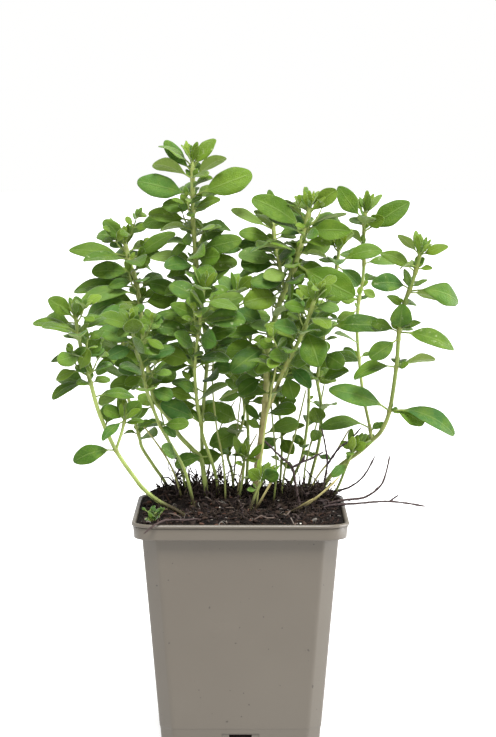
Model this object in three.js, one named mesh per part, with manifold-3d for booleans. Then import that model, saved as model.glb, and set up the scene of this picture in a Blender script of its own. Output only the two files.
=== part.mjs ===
// An oregano plant growing in a square plastic herb pot.
// Millimetres, +Z up. The origin is the centre of the pot's underside; -Y is the front.
// Every leafy stem is one solid: its stalk, its forks and its leaves are fused together.
import * as THREE from "three";
import { mergeVertices } from "three/addons/utils/BufferGeometryUtils.js";
import Module from "manifold-3d";

const wasm = await Module();
wasm.setup();

// ---- pot ----
const POT_HEIGHT = 120;
const RIM_HALF = 55.9; // half of the rim's outer width, over its lip
const RIM_BAND = 8.3; // height of the rim, lip and band
const RIM_CORNER = 13; // corner radius of the rim
const RIM_LIP = 1.9; // height of the lip round the rim's top edge
const RIM_LIP_PROUD = 0.7; // how far the lip stands out from the band under it
const RIM_TAPER = 0.6; // how far the band draws in towards its foot
const RIM_WALL = 2.3; // from the lip's outer face to the inner face
const BODY_TOP_HALF = 50.6; // half width of the body just under the rim
const BODY_BASE_HALF = 41.1;
const CHAMFER_TOP = 8; // how far the body's cut corners reach along each side
const CHAMFER_BASE = 6.8;
const WALL = 1.6;
const FLOOR = 2.2;
const FOOT_HEIGHT = 10.8; // the foot band is set back below this line
const FOOT_INSET = 0.25;
const SLOT_WIDTH = 11.7; // drain slot in the foot of each side
const SLOT_HEIGHT = 6.8;
const RECESS_BESIDE = 3.9; // the slot lies in a shallow recess that reaches this far beside it
const RECESS_ABOVE = 0.7;
const RECESS_FACE = 40.9; // from the pot's middle to the recess's upright face
const SLOT_END = 35.1; // from the pot's middle to the slot's end in the floor

// ---- soil ----
const GAP = 0.35; // clearance between pieces that touch
const SOIL_LEVEL = 118.9; // at the front edge
const SOIL_MOUND = 6.6; // extra height towards the back
const SOIL_RINGS = [0.985, 0.8, 0.55, 0.28]; // shares of the surface's half width

// ---- foliage ----
const STALK_SIDES = 4; // stalks are square
const STEP_LENGTH = 11; // a stalk has a section about this often
const BLADE_THICKNESS = 0.95;
const PETIOLE_HALF = 0.5;
const ROOT_DEPTH = 0.42; // a leaf's root, as a share of the stalk's radius out from its middle
const WIDTH_SHARE = 0.25; // a blade's half width as a share of its whole length
const FOLD = 0.24; // how far the blade's edges lift above its midrib, as a share of half width
const CLEAR = 2.8; // least distance between sample points of two leaves
const STALK_CLEAR = 2.6;
const LEAST_CLEAR = 2.1; // a leaf that can't be turned this clear of its neighbours is left out
const SOIL_CLEAR = 2.2;
const TURNS = [0, 14, -14, 28, -28, 44, -44]; // degrees that a crowded leaf may swing sideways
const TILTS = [0, 14, -14, 28, -28]; // degrees that it may lift or droop

// A leafy stem's stalks run through hand-set points, root first. Each leaf is
// [place along the stalk in points, tip offset x, y, z, face, arch, width], or only the first four
// for a leaf that fills in, whose form is random. `face` is how many degrees the upper face is
// turned from the sky to the front, and a width of 1 makes a blade half as wide as the leaf is
// long. A fork starts on the main stalk.
const STEMS = [
  {
    name: "stem_left",
    seed: 11,
    stalks: [
      {
        radius: [1.3, 0.85],
        route: [
          [-25, -13, 108], [-30, -17, 119], [-43, -22, 127.5], [-50, -26, 134], [-54, -29, 139.5],
          [-64, -37, 156], [-72, -44, 176], [-76, -49, 192], [-79, -53, 203], [-81, -56, 214],
          [-83, -58, 227],
        ],
        leaves: [
          [5, -21, -6, -5, 70, 0.4, 0.8], [7, -19, -4, -7, 20, 0.25, 0.8],
          [7, -8, -7, 1, 35, 0.2, 0.9], [8, -16, -5, 1, 40, 0.35, 0.8],
          [8, 7, -4, 12, 65, 0.2, 1.1], [9.3, -22, -6, 5, 25, 0.25, 0.8],
          [9.3, 5, -4, 5, 50, 0.1, 0.9], [10, -13, -4, 10, 75, 0.1, 0.95],
          [10, 4, -3, 8, 70, 0.1, 0.8], [7, 9, 8, 2], [8, 5, 12, 4], [9.2, -4, 12, 5],
          [10, 1, 8, 7],
        ],
      },
      {
        radius: [0.85, 0.65],
        route: [[-64, -37, 156], [-61, -37, 165], [-59, -40, 173]],
        leaves: [
          [2, -10, -6, 6, 65, 0.15, 1], [2, 8, -8, 10, 75, 0.1, 1.1],
          [1.8, -14, -7, -5, 40, 0.2, 0.75], [1.6, 9, -6, 2, 40, 0.15, 0.85],
        ],
      },
    ],
  },
  {
    name: "stem_left_rear",
    seed: 23,
    stalks: [
      {
        radius: [1.1, 0.75],
        route: [
          [-38, 39, 110], [-40, 42, 125], [-48, 46, 137], [-54, 49, 146], [-56, 52, 153],
          [-63, 58, 177], [-65, 63, 191], [-65, 67, 205], [-64, 70, 214],
        ],
        leaves: [
          [5, -15, -4, -6, 55, 0.3, 0.8], [6.3, -14, -5, -10, 60, 0.4, 0.75],
          [6.8, -13, -5, 0, 75, 0.15, 1.15], [4, 13, 8, 4], [4, -8, 2, -2], [5, 12, -6, 8],
          [5, 2, 17, 1], [6, 15, -4, 5], [7, 4, 16, 2], [7, -11, 8, 6], [8, -10, -2, 10],
          [8, 9, 3, 9], [8, 1, 8, 9],
        ],
      },
    ],
  },
  {
    name: "stem_mid_left",
    seed: 37,
    stalks: [
      {
        radius: [1.2, 0.85],
        route: [
          [-15, 20, 107], [-18, 19, 122], [-21, 18, 143], [-26, 17, 149.5], [-33, 17, 157],
          [-39, 17, 167], [-46, 17, 176], [-48, 17, 188], [-51, 18, 199], [-52, 19, 211],
          [-53, 20, 219], [-54, 22, 227], [-56, 25, 239], [-60, 28, 250], [-62, 31, 259],
        ],
        leaves: [
          [6.5, 13, -5, -3, 55, 0.15, 1], [7.3, 17, -7, 3, 60, 0.15, 0.95],
          [8.1, 8, -9, 3, 65, 0.15, 1.1], [9.2, 19, -4, -3, 50, 0.2, 0.85],
          [9.8, 21, -6, -2, 60, 0.3, 0.85], [10.5, -21, -13, -4, 65, 0.2, 0.85],
          [11, -27, -7, -9, 55, 0.4, 0.75], [11.4, -30, -10, -3, 50, 0.3, 0.65],
          [11.7, -34, -3, -2, 50, 0.25, 0.6], [11.9, 24, -6, -5, 60, 0.35, 0.75],
          [12, -24, 8, 0, 40, 0.15, 0.7], [12, -13, -13, -2, 75, 0.1, 0.6],
          [12.4, -19, -11, 1, 70, 0.15, 0.85], [12.4, 9, -4, 8, 75, 0.1, 0.9],
          [12.9, 23, -6, 16, 55, 0.15, 0.55], [13, -26, -9, 1, 45, 0.2, 0.65],
          [13.2, -31, -4, 4, 60, 0.25, 0.65], [13.6, -9, 6, 3, 40, 0.1, 0.9],
          [14, -11, -3, 13, 75, 0.1, 0.85], [14, 4, 2, 11, 50, 0.05, 0.6], [7, -8, 10, -3],
          [8, 12, 9, 3], [8.2, -12, 10, -2], [9, -10, 12, 2], [10, 6, 14, 2],
          [11, 4, 17, 3], [12, -6, 14, 3], [13, 5, 11, 4],
        ],
      },
    ],
  },
  {
    name: "stem_mid_left_front",
    seed: 41,
    stalks: [
      {
        radius: [1.0, 0.75],
        route: [
          [-24, 6, 108], [-25, 5, 121], [-30, 1, 141], [-38, -5, 157], [-42, -9, 165],
          [-46, -14, 176], [-49, -18, 186], [-51, -22, 197], [-54, -26, 209], [-56, -29, 219],
        ],
        leaves: [
          [4, 15, -7, 1, 55, 0.2, 0.85], [4, 6, -6, -6, 55, 0.25, 0.95],
          [4.2, -11, 3, -2, 50, 0.15, 0.75], [5, -11, -4, -5, 60, 0.15, 0.85],
          [5.9, 13, -5, -3, 60, 0.15, 1], [6.6, -9, -6, -4, 65, 0.1, 1],
          [7.1, -13, -7, 1, 65, 0.15, 0.95], [8, -14, -8, -5, 60, 0.15, 0.85],
          [8, 12, -7, -3, 60, 0.15, 1], [9, -7, -6, -3, 65, 0.1, 1.1], [9, 7, -5, 5, 60, 0.1, 0.9],
          [6, 6, 10, 3], [9, -4, 5, 7],
        ],
      },
    ],
  },
  {
    name: "stem_tall",
    seed: 53,
    stalks: [
      {
        radius: [1.15, 0.9],
        route: [
          [-19, 31, 107], [-20, 30, 122], [-21, 26, 159], [-20, 23, 172], [-18, 18, 199],
          [-20, 14, 219], [-22, 10, 232], [-23, 7, 246], [-24, 4, 259], [-25, 2, 272],
          [-25, -1, 284], [-25, -3, 295], [-25, -4, 304],
        ],
        leaves: [
          [3.8, 13, -6, -1, 55, 0.15, 0.9], [6.5, -17, -5, -6, 60, 0.15, 0.9],
          [6.9, 10, -8, -4, 70, 0.15, 1], [7.2, -14, -8, -5, 65, 0.15, 0.8],
          [7.3, -24, -3, 3, 50, 0.12, 0.7], [7.4, 12, -13, 3, 75, 0.15, 1.15],
          [7.8, 24, -7, 6, 70, 0.15, 0.75], [7.9, 15, 6, 13, 60, 0.15, 0.75],
          [7.8, 24, 7, 2, 50, 0.1, 0.7], [8.2, -6, -10, 1, 80, 0.1, 1.1],
          [8.4, -12, -3, -11, 60, 0.2, 0.6], [8.6, -17, -12, 2, -25, 0.15, 0.8],
          [8.8, -29, 4, 1, 60, 0.15, 0.6], [9, -20, 12, 4, 55, 0.1, 0.7],
          [9.2, 7, -6, -9, -30, 0.1, 0.75], [9.4, -15, -4, 4, 60, 0.12, 0.9],
          [9.45, 14, -9, 6, 55, 0.12, 0.8], [9.9, 13, 8, 5, 50, 0.15, 0.9],
          [10.1, -28, -6, 8, 75, 0.12, 0.8], [10.1, 30, -6, 12, 75, 0.12, 0.78],
          [10.4, 10, -11, 6, 50, 0.2, 0.8], [10.9, -20, -7, 9, -35, 0.15, 0.8],
          [10.9, 17, -6, 12, -35, 0.1, 0.75], [11.3, -14, -3, 16, 60, 0.1, 0.65],
          [11.4, 11, -4, 16, 70, 0.08, 0.7], [12, -2, 3, 10, 60, 0.05, 0.5],
          [12, 3, -2, 9, 60, 0.05, 0.55], [4, 14, 9, 2], [4, -12, 12, 2], [5, -14, 8, -2],
          [5, 12, 11, 5], [6, 6, 16, 2], [8.3, 3, 15, 3], [10, -2, 16, 5], [11, 1, 9, 8],
        ],
      },
    ],
  },
  {
    name: "stem_sprouting",
    seed: 67,
    stalks: [
      {
        radius: [1.0, 0.75],
        route: [
          [-12, 20, 107], [-12, 20, 121], [-14, 15, 138], [-20, 9, 157], [-21, 5, 164],
          [-23, -1, 177], [-24, -9, 197], [-22, -16, 214], [-20, -22, 229], [-19, -26, 239],
        ],
        leaves: [
          [4.1, -20, -7, 10, 65, 0.15, 0.85], [5, -14, -4, 6, 60, 0.25, 0.85],
          [5.3, -10, -5, 5, 65, 0.1, 1], [6, -18, 6, -1, 55, 0.1, 0.85],
          [6.1, -20, -6, 7, 70, 0.15, 1], [7, -25, -3, 5, 60, 0.25, 0.65],
          [6.9, -25, 5, -2, 50, 0.2, 0.6], [7, 9, -13, -3, 85, 0.1, 1.2],
          [7.6, -15, -8, 7, 65, 0.15, 0.85], [7.6, -23, 4, 2, 40, 0.1, 0.45],
          [7.7, 22, 4, 9, 60, 0.15, 0.75], [7.5, 25, -5, 0, 60, 0.2, 0.8],
          [7.8, -3, -10, 14, 75, 0.05, 0.8], [8.6, 4, 2, 11, 60, 0.05, 0.55],
          [9, -5, -3, 7, 70, 0.05, 0.7], [9, 4, -4, 6, 70, 0.05, 0.8], [4, 8, 10, 3],
          [6, 6, 12, 3], [8, -2, 12, 4],
        ],
      },
    ],
  },
  {
    name: "stem_trunk",
    seed: 79,
    stalks: [
      {
        radius: [1.85, 1.0],
        route: [
          [8, 21, 106], [8, 20, 121], [8, 19, 130], [9, 17, 143], [11, 14, 157], [13, 10, 176],
          [14, 6, 195], [15, 3, 209], [19, 0, 224], [23, -3, 236], [28, -6, 248], [31, -9, 259],
          [34, -11, 269], [36, -13, 280],
        ],
        leaves: [
          [4.2, -7, -5, 5, 70, 0.1, 0.8], [4.4, -8, -4, 9, 75, 0.1, 0.7],
          [5.5, -25, 6, -9, -25, 0.1, 0.5], [5.7, -14, -6, -8, 65, 0.15, 0.95],
          [6, -19, -10, -3, -25, 0.35, 0.6], [6.8, -24, -4, -12, 70, 0.15, 0.85],
          [7.2, -25, 7, 0, 50, 0.12, 0.6], [7.5, -11, -12, 1, 65, 0.2, 0.9],
          [8.6, -19, -14, -1, 75, 0.25, 0.95], [9.4, -21, -7, 0, 60, 0.2, 0.8],
          [9.9, -1, -9, -15, -30, 0.1, 0.9], [10.2, 30, -17, -15, 75, 0.1, 0.85],
          [10.7, 14, -10, -1, -25, 0.1, 0.8], [10.8, -25, -11, 1, -30, 0.2, 0.75],
          [11.2, 15, -5, 0, 55, 0.1, 0.85], [11.8, 23, -8, 1, 70, 0.15, 0.85],
          [11.8, -27, -8, 17, 65, 0.2, 0.72], [12, 21, 6, 7, -20, 0.1, 0.7],
          [12.3, -13, -5, 11, -20, 0.15, 0.8], [12.6, 14, -4, 13, 75, 0.1, 0.82],
          [13, -4, 0, 7, 60, 0.05, 0.6], [13, 1, -3, 7, 60, 0.05, 0.6], [5, 11, 9, 3],
          [6, 8, 12, 4], [7, 13, 11, 3], [8, 10, 12, 2], [9, -8, 14, 3],
          [10, 8, 14, 3], [11, 4, 14, 3], [12, 3, 13, 6], [13, 2, 6, 9],
        ],
      },
      {
        radius: [1.25, 0.8],
        route: [
          [12, 12, 166], [17, 3, 179], [22, -8, 193], [26, -16, 202], [31, -25, 213],
          [35, -32, 224], [38, -37, 234],
        ],
        leaves: [
          [2.1, 5, -8, -13, 70, 0.1, 1.2], [2.6, 14, 5, -7, 50, 0.1, 0.7],
          [2.5, 14, -6, -11, 55, 0.15, 0.8], [3, -11, -12, 1, 65, 0.2, 0.9],
          [4.2, -14, -9, 5, 60, 0.2, 0.95], [4.5, 7, -15, -18, 70, 0.1, 1.15],
          [5.6, 13, -8, -1, 55, 0.15, 0.85], [5.3, -13, -5, 4, 60, 0.15, 0.9],
          [6, 8, -6, 8, 65, 0.1, 0.85], [6, -8, -4, 8, 60, 0.1, 0.85],
        ],
      },
      {
        radius: [1.0, 0.75],
        route: [[23, -3, 236], [20, 2, 251], [18, 6, 262], [17, 9, 272]],
        leaves: [
          [0.9, -21, 6, -5, 50, 0.15, 0.65], [1, -21, -5, 4, 60, 0.15, 0.82],
          [1.5, -20, 3, 3, 55, 0.15, 0.75], [1.9, -18, 6, 5, 60, 0.15, 0.85],
          [2.3, -10, -7, 13, -30, 0.1, 0.65], [2.5, -22, 4, 11, 50, 0.05, 0.5],
          [3, -2, 3, 17, 70, 0.05, 0.55], [3, 8, 6, 12, 50, 0.1, 0.5],
          [2.7, 8, -4, 6, 60, 0.1, 0.9], [1, 10, 10, 3], [2, 11, 8, 2], [3, -6, 8, 7],
        ],
      },
    ],
  },
  {
    name: "stem_right_front",
    seed: 83,
    stalks: [
      {
        radius: [1.0, 0.75],
        route: [
          [36, 41, 110], [37, 42, 126], [41, 36, 144], [43, 31, 157], [43, 26, 173],
          [41, 20, 187], [43, 16, 202], [45, 12, 216], [46, 10, 226], [49, 9, 238],
          [51, 9, 249], [52, 9, 258],
        ],
        leaves: [
          [3.2, -4, -9, 11, 80, 0.1, 1.1], [3.1, -4, -9, -5, 75, 0.1, 1.1],
          [4.9, 15, -8, 6, 60, 0.1, 0.85], [6, 11, -11, -6, 75, 0.15, 1.2],
          [6.4, 7, -3, 2, 35, 0.1, 0.9], [6.9, 33, -7, 1, 60, 0.45, 0.62],
          [7.6, 5, -4, -2, 50, 0.2, 0.8], [9.9, 12, 4, -10, 60, 0.1, 0.85],
          [10, 23, -5, 8, 55, 0.2, 0.7], [11, -9, 3, 6, 60, 0.1, 0.85],
          [11, 7, -3, 9, -20, 0.05, 0.75], [11, -2, -7, 6, 70, 0.1, 0.8], [2, -7, -5, 2],
          [2, 7, -5, -1], [5, -10, 8, -3], [5, 8, 10, 3], [7, -9, 8, 3], [9, 5, 12, 2],
          [10, -9, 9, 3], [11, 0, 6, 9],
        ],
      },
    ],
  },
  {
    name: "stem_right_rear",
    seed: 97,
    stalks: [
      {
        radius: [0.95, 0.7],
        route: [
          [26, 43, 110], [27, 43, 126], [33, 42, 141], [36, 44, 158], [37, 47, 172],
          [37, 52, 183], [37, 58, 197], [35, 63, 210], [33, 67, 222],
        ],
        leaves: [
          [4, 10, 8, -3], [5, 15, 3, -1], [5, -14, 4, 1], [6, -4, 16, 2], [6, 12, -5, 5],
          [7, -15, 4, 4], [7, 14, 6, 3], [8, -10, 3, 8], [8, 9, 5, 8], [8, 1, -8, 9],
        ],
      },
    ],
  },
  {
    name: "stem_right",
    seed: 101,
    stalks: [
      {
        radius: [1.4, 0.85],
        route: [
          [38, 31, 110], [43, 29, 124], [48, 27, 133], [54, 24, 140], [64, 20, 148],
          [70, 17, 154], [75, 13, 160], [79, 9, 171], [82, 1, 195], [83, -5, 214], [85, -9, 228],
          [88, -12, 237], [91, -15, 247], [93, -17, 256],
        ],
        leaves: [
          [7, -32, -7, 11, 55, 0.3, 0.68], [7, 34, -6, -12, 40, 0.35, 0.52],
          [7, 16, -9, -7, 55, 0.15, 0.85], [8, 20, -4, 5, -30, 0.15, 0.85],
          [8, -22, -7, -5, 45, 0.4, 0.65], [8, 7, -5, 3, 60, 0.1, 0.8],
          [8.8, -15, -8, -9, 65, 0.15, 0.95], [9, 1, -8, 15, 85, 0.1, 1.2],
          [9, 28, -5, -8, 55, 0.35, 0.72], [9.1, 10, -4, 4, 50, 0.1, 0.75],
          [9, -14, 5, 5, 55, 0.15, 0.8], [10, -8, -3, 6, 55, 0.15, 0.95],
          [10.9, 26, 4, -6, 60, 0.4, 0.8], [10.8, 16, -10, -4, -35, 0.1, 0.9],
          [11, -20, -9, 3, 60, 0.35, 0.8], [11, -6, -5, 10, 60, 0.2, 0.7],
          [11.1, 8, -7, 4, 50, 0.1, 0.7], [11.9, -17, 4, 10, 55, 0.25, 0.8],
          [12.2, -13, -8, 1, -30, 0.2, 0.9], [12.9, -11, -3, 11, -30, 0.05, 0.8],
          [12.9, 14, -3, 5, 60, 0.1, 0.75], [13, 1, -3, 7, 60, 0.05, 0.6], [8, 3, 15, 3],
          [9, 4, 17, 2], [10, 6, 13, 2], [11, 2, 15, 3], [12, -4, 12, 4], [13, 3, 7, 6],
        ],
      },
      {
        radius: [0.95, 0.75],
        route: [
          [70, 17, 154], [69, 25, 162], [66, 32, 177], [64, 39, 196], [63, 43, 212],
          [64, 47, 226], [66, 49, 236], [67, 51, 248], [67, 54, 267], [68, 56, 275],
        ],
        leaves: [
          [0.8, -26, -7, 1, 50, 0.45, 0.55], [0.6, 8, -3, 4, 45, 0.2, 0.8],
          [3, -8, -3, 6, 60, 0.1, 0.85], [4.7, -11, -8, -6, 60, 0.2, 0.9],
          [5.2, -10, -3, 0, 60, 0.1, 0.95], [5.7, 7, -5, -4, 70, 0.1, 0.95],
          [6.9, 16, -6, 0, 55, 0.2, 0.75], [7.2, -8, -7, 2, 70, 0.1, 1],
          [7.4, -8, -4, 10, -15, 0.1, 0.95], [7.8, 24, -3, 17, 65, 0.1, 0.75],
          [8.1, 10, -8, 5, 75, 0.1, 1], [8.3, -14, -4, 19, 70, 0.08, 0.78],
          [8.7, 2, -2, 11, 60, 0.05, 0.6], [3, 9, 6, 4], [4, -6, 8, 3], [4, 13, 5, 3],
          [5, 3, 15, 3], [6, 8, 9, 3], [7, 4, 14, 3], [7, -9, 13, 3], [8, -7, 12, 5], [9, 1, 5, 9],
        ],
      },
    ],
  },
  {
    name: "stem_rear",
    seed: 113,
    stalks: [
      {
        radius: [1.05, 0.7],
        route: [
          [2, 38, 109], [3, 42, 126], [4, 50, 150], [3, 58, 175], [1, 65, 195], [-1, 71, 213],
          [-3, 76, 230],
        ],
        leaves: [
          [5.7, -14, -6, 7, 60, 0.2, 0.95], [6, 9, -6, 10, 60, 0.15, 0.95],
          [5, 17, -6, 3, 60, 0.15, 0.9], [5, -18, -5, 2, 60, 0.15, 0.9],
          [4, -16, -4, 4, 60, 0.15, 0.9], [4, 14, -6, 5, 60, 0.15, 0.9], [3, -14, -3, -3],
          [3, 14, 3, 2], [4, -3, 16, -2], [5, 5, 15, 2], [6, -9, 3, 10], [6, 3, 9, 8],
        ],
      },
    ],
  },
  {
    name: "thin_stem_left",
    seed: 127,
    stalks: [
      {
        radius: [0.85, 0.6],
        route: [
          [-5, 33, 110], [-4, 33, 124], [-5, 32, 136], [-7, 31, 144], [-4, 30, 151], [0, 29, 159],
          [2, 29, 170], [0, 30, 181],
        ],
        leaves: [
          [5.3, -17, -8, 10, 75, 0.15, 0.9], [4.9, -16, -12, -7, 75, 0.15, 0.95],
          [3.2, -6, -8, 4, 60, 0.3, 1], [3, 10, -3, 1, 40, 0.1, 0.75],
          [6.2, 3, -6, 4, 75, 0.1, 0.9], [7, -8, -5, 6, 60, 0.1, 0.9], [7, 8, 3, 8],
        ],
      },
    ],
  },
  {
    name: "thin_stem_centre",
    seed: 131,
    stalks: [
      {
        radius: [0.8, 0.55],
        route: [[21, 37, 110], [21, 36, 124], [22, 34, 140], [22, 30, 156], [20, 24, 173]],
        leaves: [
          [2.9, 12, -3, 7, 35, 0.15, 0.7], [2.9, 6, -8, -8, 75, 0.1, 1.1],
          [2.9, -11, -7, -5, 70, 0.15, 0.9], [2, 6, -5, -2, 60, 0.2, 0.9], [2, -5, 5, 3],
          [4, 9, -7, 5, 60, 0.1, 0.85], [4, -6, 6, 8],
        ],
      },
    ],
  },
  {
    name: "sprout_middle",
    seed: 139,
    stalks: [
      {
        radius: [0.75, 0.55],
        route: [[-1, 16, 110], [-1, 16, 121], [1, 14, 134], [2, 11, 146]],
        leaves: [
          [2.6, -4, -5, 2, 60, 0.2, 0.9], [3, -6, -4, 2, 50, 0.2, 0.8],
          [3, 4, -5, 3, 60, 0.2, 0.8], [3, 1, 4, 7], [2, 5, -5, 2],
        ],
      },
    ],
  },
  {
    name: "sprout_front",
    seed: 149,
    stalks: [
      {
        radius: [1.0, 0.65],
        route: [[3, -8, 108], [5, -7, 120], [8, -6, 129], [12, -6, 137]],
        leaves: [
          [3, -7, -7, 6, 75, 0.1, 1.1], [3, 8, -8, 5, 80, 0.1, 1.25],
          [3, 2, 4, 8, 75, 0.1, 1], [2.2, -5, -4, 1, 60, 0.1, 0.9],
        ],
      },
    ],
  },
  {
    name: "sprout_right",
    seed: 151,
    stalks: [
      {
        radius: [0.8, 0.6],
        route: [[45, 14, 110], [48, 14, 121], [53, 13, 132], [57, 11, 143], [60, 10, 150]],
        leaves: [
          [4, -5, -4, 5, 65, 0.1, 1], [4, 6, -5, 5, 65, 0.1, 1], [3, -8, -5, -6, 60, 0.1, 1],
          [4, 1, -8, 3], [4, 1, 5, 6],
        ],
      },
    ],
  },
];

// Dead, dark twigs. The first stalk stands in the soil or lies on it; the others fork off it.
const TWIGS = [
  {
    name: "dead_twig_low",
    stalks: [
      {
        radius: [0.75, 0.45],
        route: [
          [37, 3, 115], [45, 2, 120.6], [53, 1, 122], [62, 1, 122.6], [79, 0, 123.8],
          [98, -3, 121.6],
        ],
      },
      { radius: [0.55, 0.35], route: [[79, 0, 123.8], [82, 4, 125.5], [84, 5, 126.5]] },
    ],
  },
  {
    name: "dead_twig_hooked",
    stalks: [
      {
        radius: [0.75, 0.4],
        route: [
          [38, 9, 114], [46, 8, 121], [56, 7, 123.6], [66, 7, 125], [74, 6, 131],
          [77, 5, 138], [79, 4, 148],
        ],
      },
    ],
  },
  {
    name: "dead_twig_rising",
    stalks: [
      {
        radius: [0.7, 0.4],
        route: [
          [39, 20, 114], [45, 20, 123], [52, 19, 126.5], [59, 19, 129], [66, 18, 135],
          [72, 17, 146],
        ],
      },
    ],
  },
  {
    name: "dead_twig_forked",
    stalks: [
      {
        radius: [0.7, 0.4],
        route: [[37, 12, 112], [40, 12, 121], [44, 11, 131], [46, 10, 142], [45, 9, 152], [43, 8, 162]],
      },
      { radius: [0.6, 0.35], route: [[46, 10, 142], [52, 7, 151], [58, 5, 156], [64, 3, 163]] },
    ],
  },
  {
    name: "dead_twig_knotted",
    stalks: [
      {
        radius: [0.85, 0.5],
        route: [[32, 2, 110], [31, 1, 121], [29, 0, 133], [27, -1, 142], [20, -2, 149], [12, -3, 157]],
      },
      { radius: [0.7, 0.5], route: [[27, -1, 142], [32, -2, 145], [34, -2, 149]] },
      { radius: [0.6, 0.35], route: [[32, -2, 145], [37, -3, 147], [44, -4, 151]] },
    ],
  },
  {
    name: "dead_twig_left",
    stalks: [
      {
        radius: [0.7, 0.4],
        route: [[-35, 24, 110], [-34, 24, 122], [-35, 23, 132], [-32, 23, 139], [-28, 24, 142]],
      },
      { radius: [0.5, 0.35], route: [[-32, 23, 139], [-35, 22, 144], [-39, 21, 146]] },
    ],
  },
  {
    name: "root_over_rim",
    stalks: [
      {
        radius: [0.6, 0.4],
        route: [
          [-14, -33, 112], [-19, -38, 119.6], [-30, -45, 121], [-38, -53, 122.2],
          [-44, -57.5, 120], [-49, -58, 116],
        ],
      },
    ],
  },
];

// ---- small tools ----

const vector = ([x, y, z]) => new THREE.Vector3(x, y, z);
const radians = (degrees) => (degrees * Math.PI) / 180;
const lerp = THREE.MathUtils.lerp;

// A repeatable stream of numbers from 0 to 1 (mulberry32).
function randomStream(seed) {
  let state = seed >>> 0;
  return () => {
    state = (state + 0x6d2b79f5) >>> 0;
    let t = state;
    t = Math.imul(t ^ (t >>> 15), t | 1);
    t ^= t + Math.imul(t ^ (t >>> 7), t | 61);
    return ((t ^ (t >>> 14)) >>> 0) / 4294967296;
  };
}

// Rings of points joined into one closed skin. A ring of one point closes an end to a tip; an end
// ring of several is capped flat. Every other quad is split the other way, so that the two faces
// of a blade are split alike and never cross.
function loft(rings) {
  const points = [];
  const starts = rings.map((ring) => {
    points.push(...ring);
    return points.length - ring.length;
  });
  const faces = [];
  for (let r = 0; r + 1 < rings.length; r++) {
    const [here, next] = [rings[r].length, rings[r + 1].length];
    const count = Math.max(here, next);
    for (let k = 0; k < count; k++) {
      const after = (k + 1) % count;
      const a = starts[r] + (here > 1 ? k : 0);
      const b = starts[r] + (here > 1 ? after : 0);
      const c = starts[r + 1] + (next > 1 ? after : 0);
      const d = starts[r + 1] + (next > 1 ? k : 0);
      if (here === 1) faces.push([a, c, d]);
      else if (next === 1) faces.push([a, b, c]);
      else if (k % 2) faces.push([a, b, d], [b, c, d]);
      else faces.push([a, b, c], [a, c, d]);
    }
  }
  const last = rings.length - 1;
  for (let k = 1; k + 1 < rings[0].length; k++) faces.push([0, k + 1, k]);
  for (let k = 1; k + 1 < rings[last].length; k++) {
    faces.push([starts[last], starts[last] + k, starts[last] + k + 1]);
  }
  const geometry = new THREE.BufferGeometry();
  geometry.setFromPoints(points);
  geometry.setIndex(faces.flat());
  return geometry;
}

// A geometry as a manifold-3d solid, turned to face outwards.
function solid(geometry) {
  geometry.deleteAttribute("normal");
  geometry.deleteAttribute("uv");
  const merged = mergeVertices(geometry, 1e-4);
  const triVerts = new Uint32Array(merged.index.array);
  const vertProperties = merged.attributes.position.array;
  const made = new wasm.Manifold(new wasm.Mesh({ numProp: 3, vertProperties, triVerts }));
  if (made.volume() > 0) return made;
  for (let i = 0; i < triVerts.length; i += 3) {
    [triVerts[i + 1], triVerts[i + 2]] = [triVerts[i + 2], triVerts[i + 1]];
  }
  return new wasm.Manifold(new wasm.Mesh({ numProp: 3, vertProperties, triVerts }));
}

const fused = (solids) => solids.reduce((whole, next) => whole.add(next));

function meshOf(name, made, { color, roughness }) {
  const { vertProperties, triVerts } = made.getMesh();
  const geometry = new THREE.BufferGeometry();
  geometry.setAttribute("position", new THREE.BufferAttribute(vertProperties, 3));
  geometry.setIndex(new THREE.BufferAttribute(triVerts, 1));
  geometry.computeVertexNormals();
  const material = new THREE.MeshStandardMaterial({ color, roughness, metalness: 0 });
  const mesh = new THREE.Mesh(geometry, material);
  mesh.name = name;
  return mesh;
}

// ---- pot ----

const CORNER_POINTS = 4;
const SIDE_POINTS = 2;

// A level square ring with cut or rounded corners: cut corners are straight, rounded ones are arcs.
function squareRing(half, corner, z, rounded) {
  const ring = [];
  for (let side = 0; side < 4; side++) {
    const turn = side * (Math.PI / 2);
    const local = [];
    for (let k = 0; k < CORNER_POINTS; k++) {
      const share = k / (CORNER_POINTS - 1);
      const angle = share * (Math.PI / 2);
      const along = rounded ? 1 - Math.cos(angle) : share;
      const across = rounded ? Math.sin(angle) : share;
      local.push([half - corner * along, half - corner + corner * across]);
    }
    const reach = half - corner;
    for (let k = 1; k <= SIDE_POINTS; k++) {
      local.push([reach - (2 * reach * k) / (SIDE_POINTS + 1), half]);
    }
    for (const [x, y] of local) {
      ring.push(
        new THREE.Vector3(
          x * Math.cos(turn) - y * Math.sin(turn),
          x * Math.sin(turn) + y * Math.cos(turn),
          z,
        ),
      );
    }
  }
  return ring;
}

// Half width and corner cut of the tapering body at a height, moved in by an inset.
function bodyRing(z, inset) {
  const share = z / (POT_HEIGHT - RIM_BAND);
  const half = lerp(BODY_BASE_HALF, BODY_TOP_HALF, share) - inset;
  const cut = lerp(CHAMFER_BASE, CHAMFER_TOP, share) - inset * (2 - Math.SQRT2);
  return squareRing(half, cut, z, false);
}

const rimRing = (z, inset) => squareRing(RIM_HALF - inset, RIM_CORNER - inset, z, true);

// Boxes that cut into the foot of the four sides, from outside as far in as `end`.
function footCutters(width, end, height) {
  const start = BODY_BASE_HALF + 6;
  return [0, 1, 2, 3].map((side) => {
    const box = new THREE.BoxGeometry(width, start - end, height);
    box.translate(0, -(start + end) / 2, FLOOR - 1 + height / 2);
    return solid(box.rotateZ((side * Math.PI) / 2));
  });
}

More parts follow.
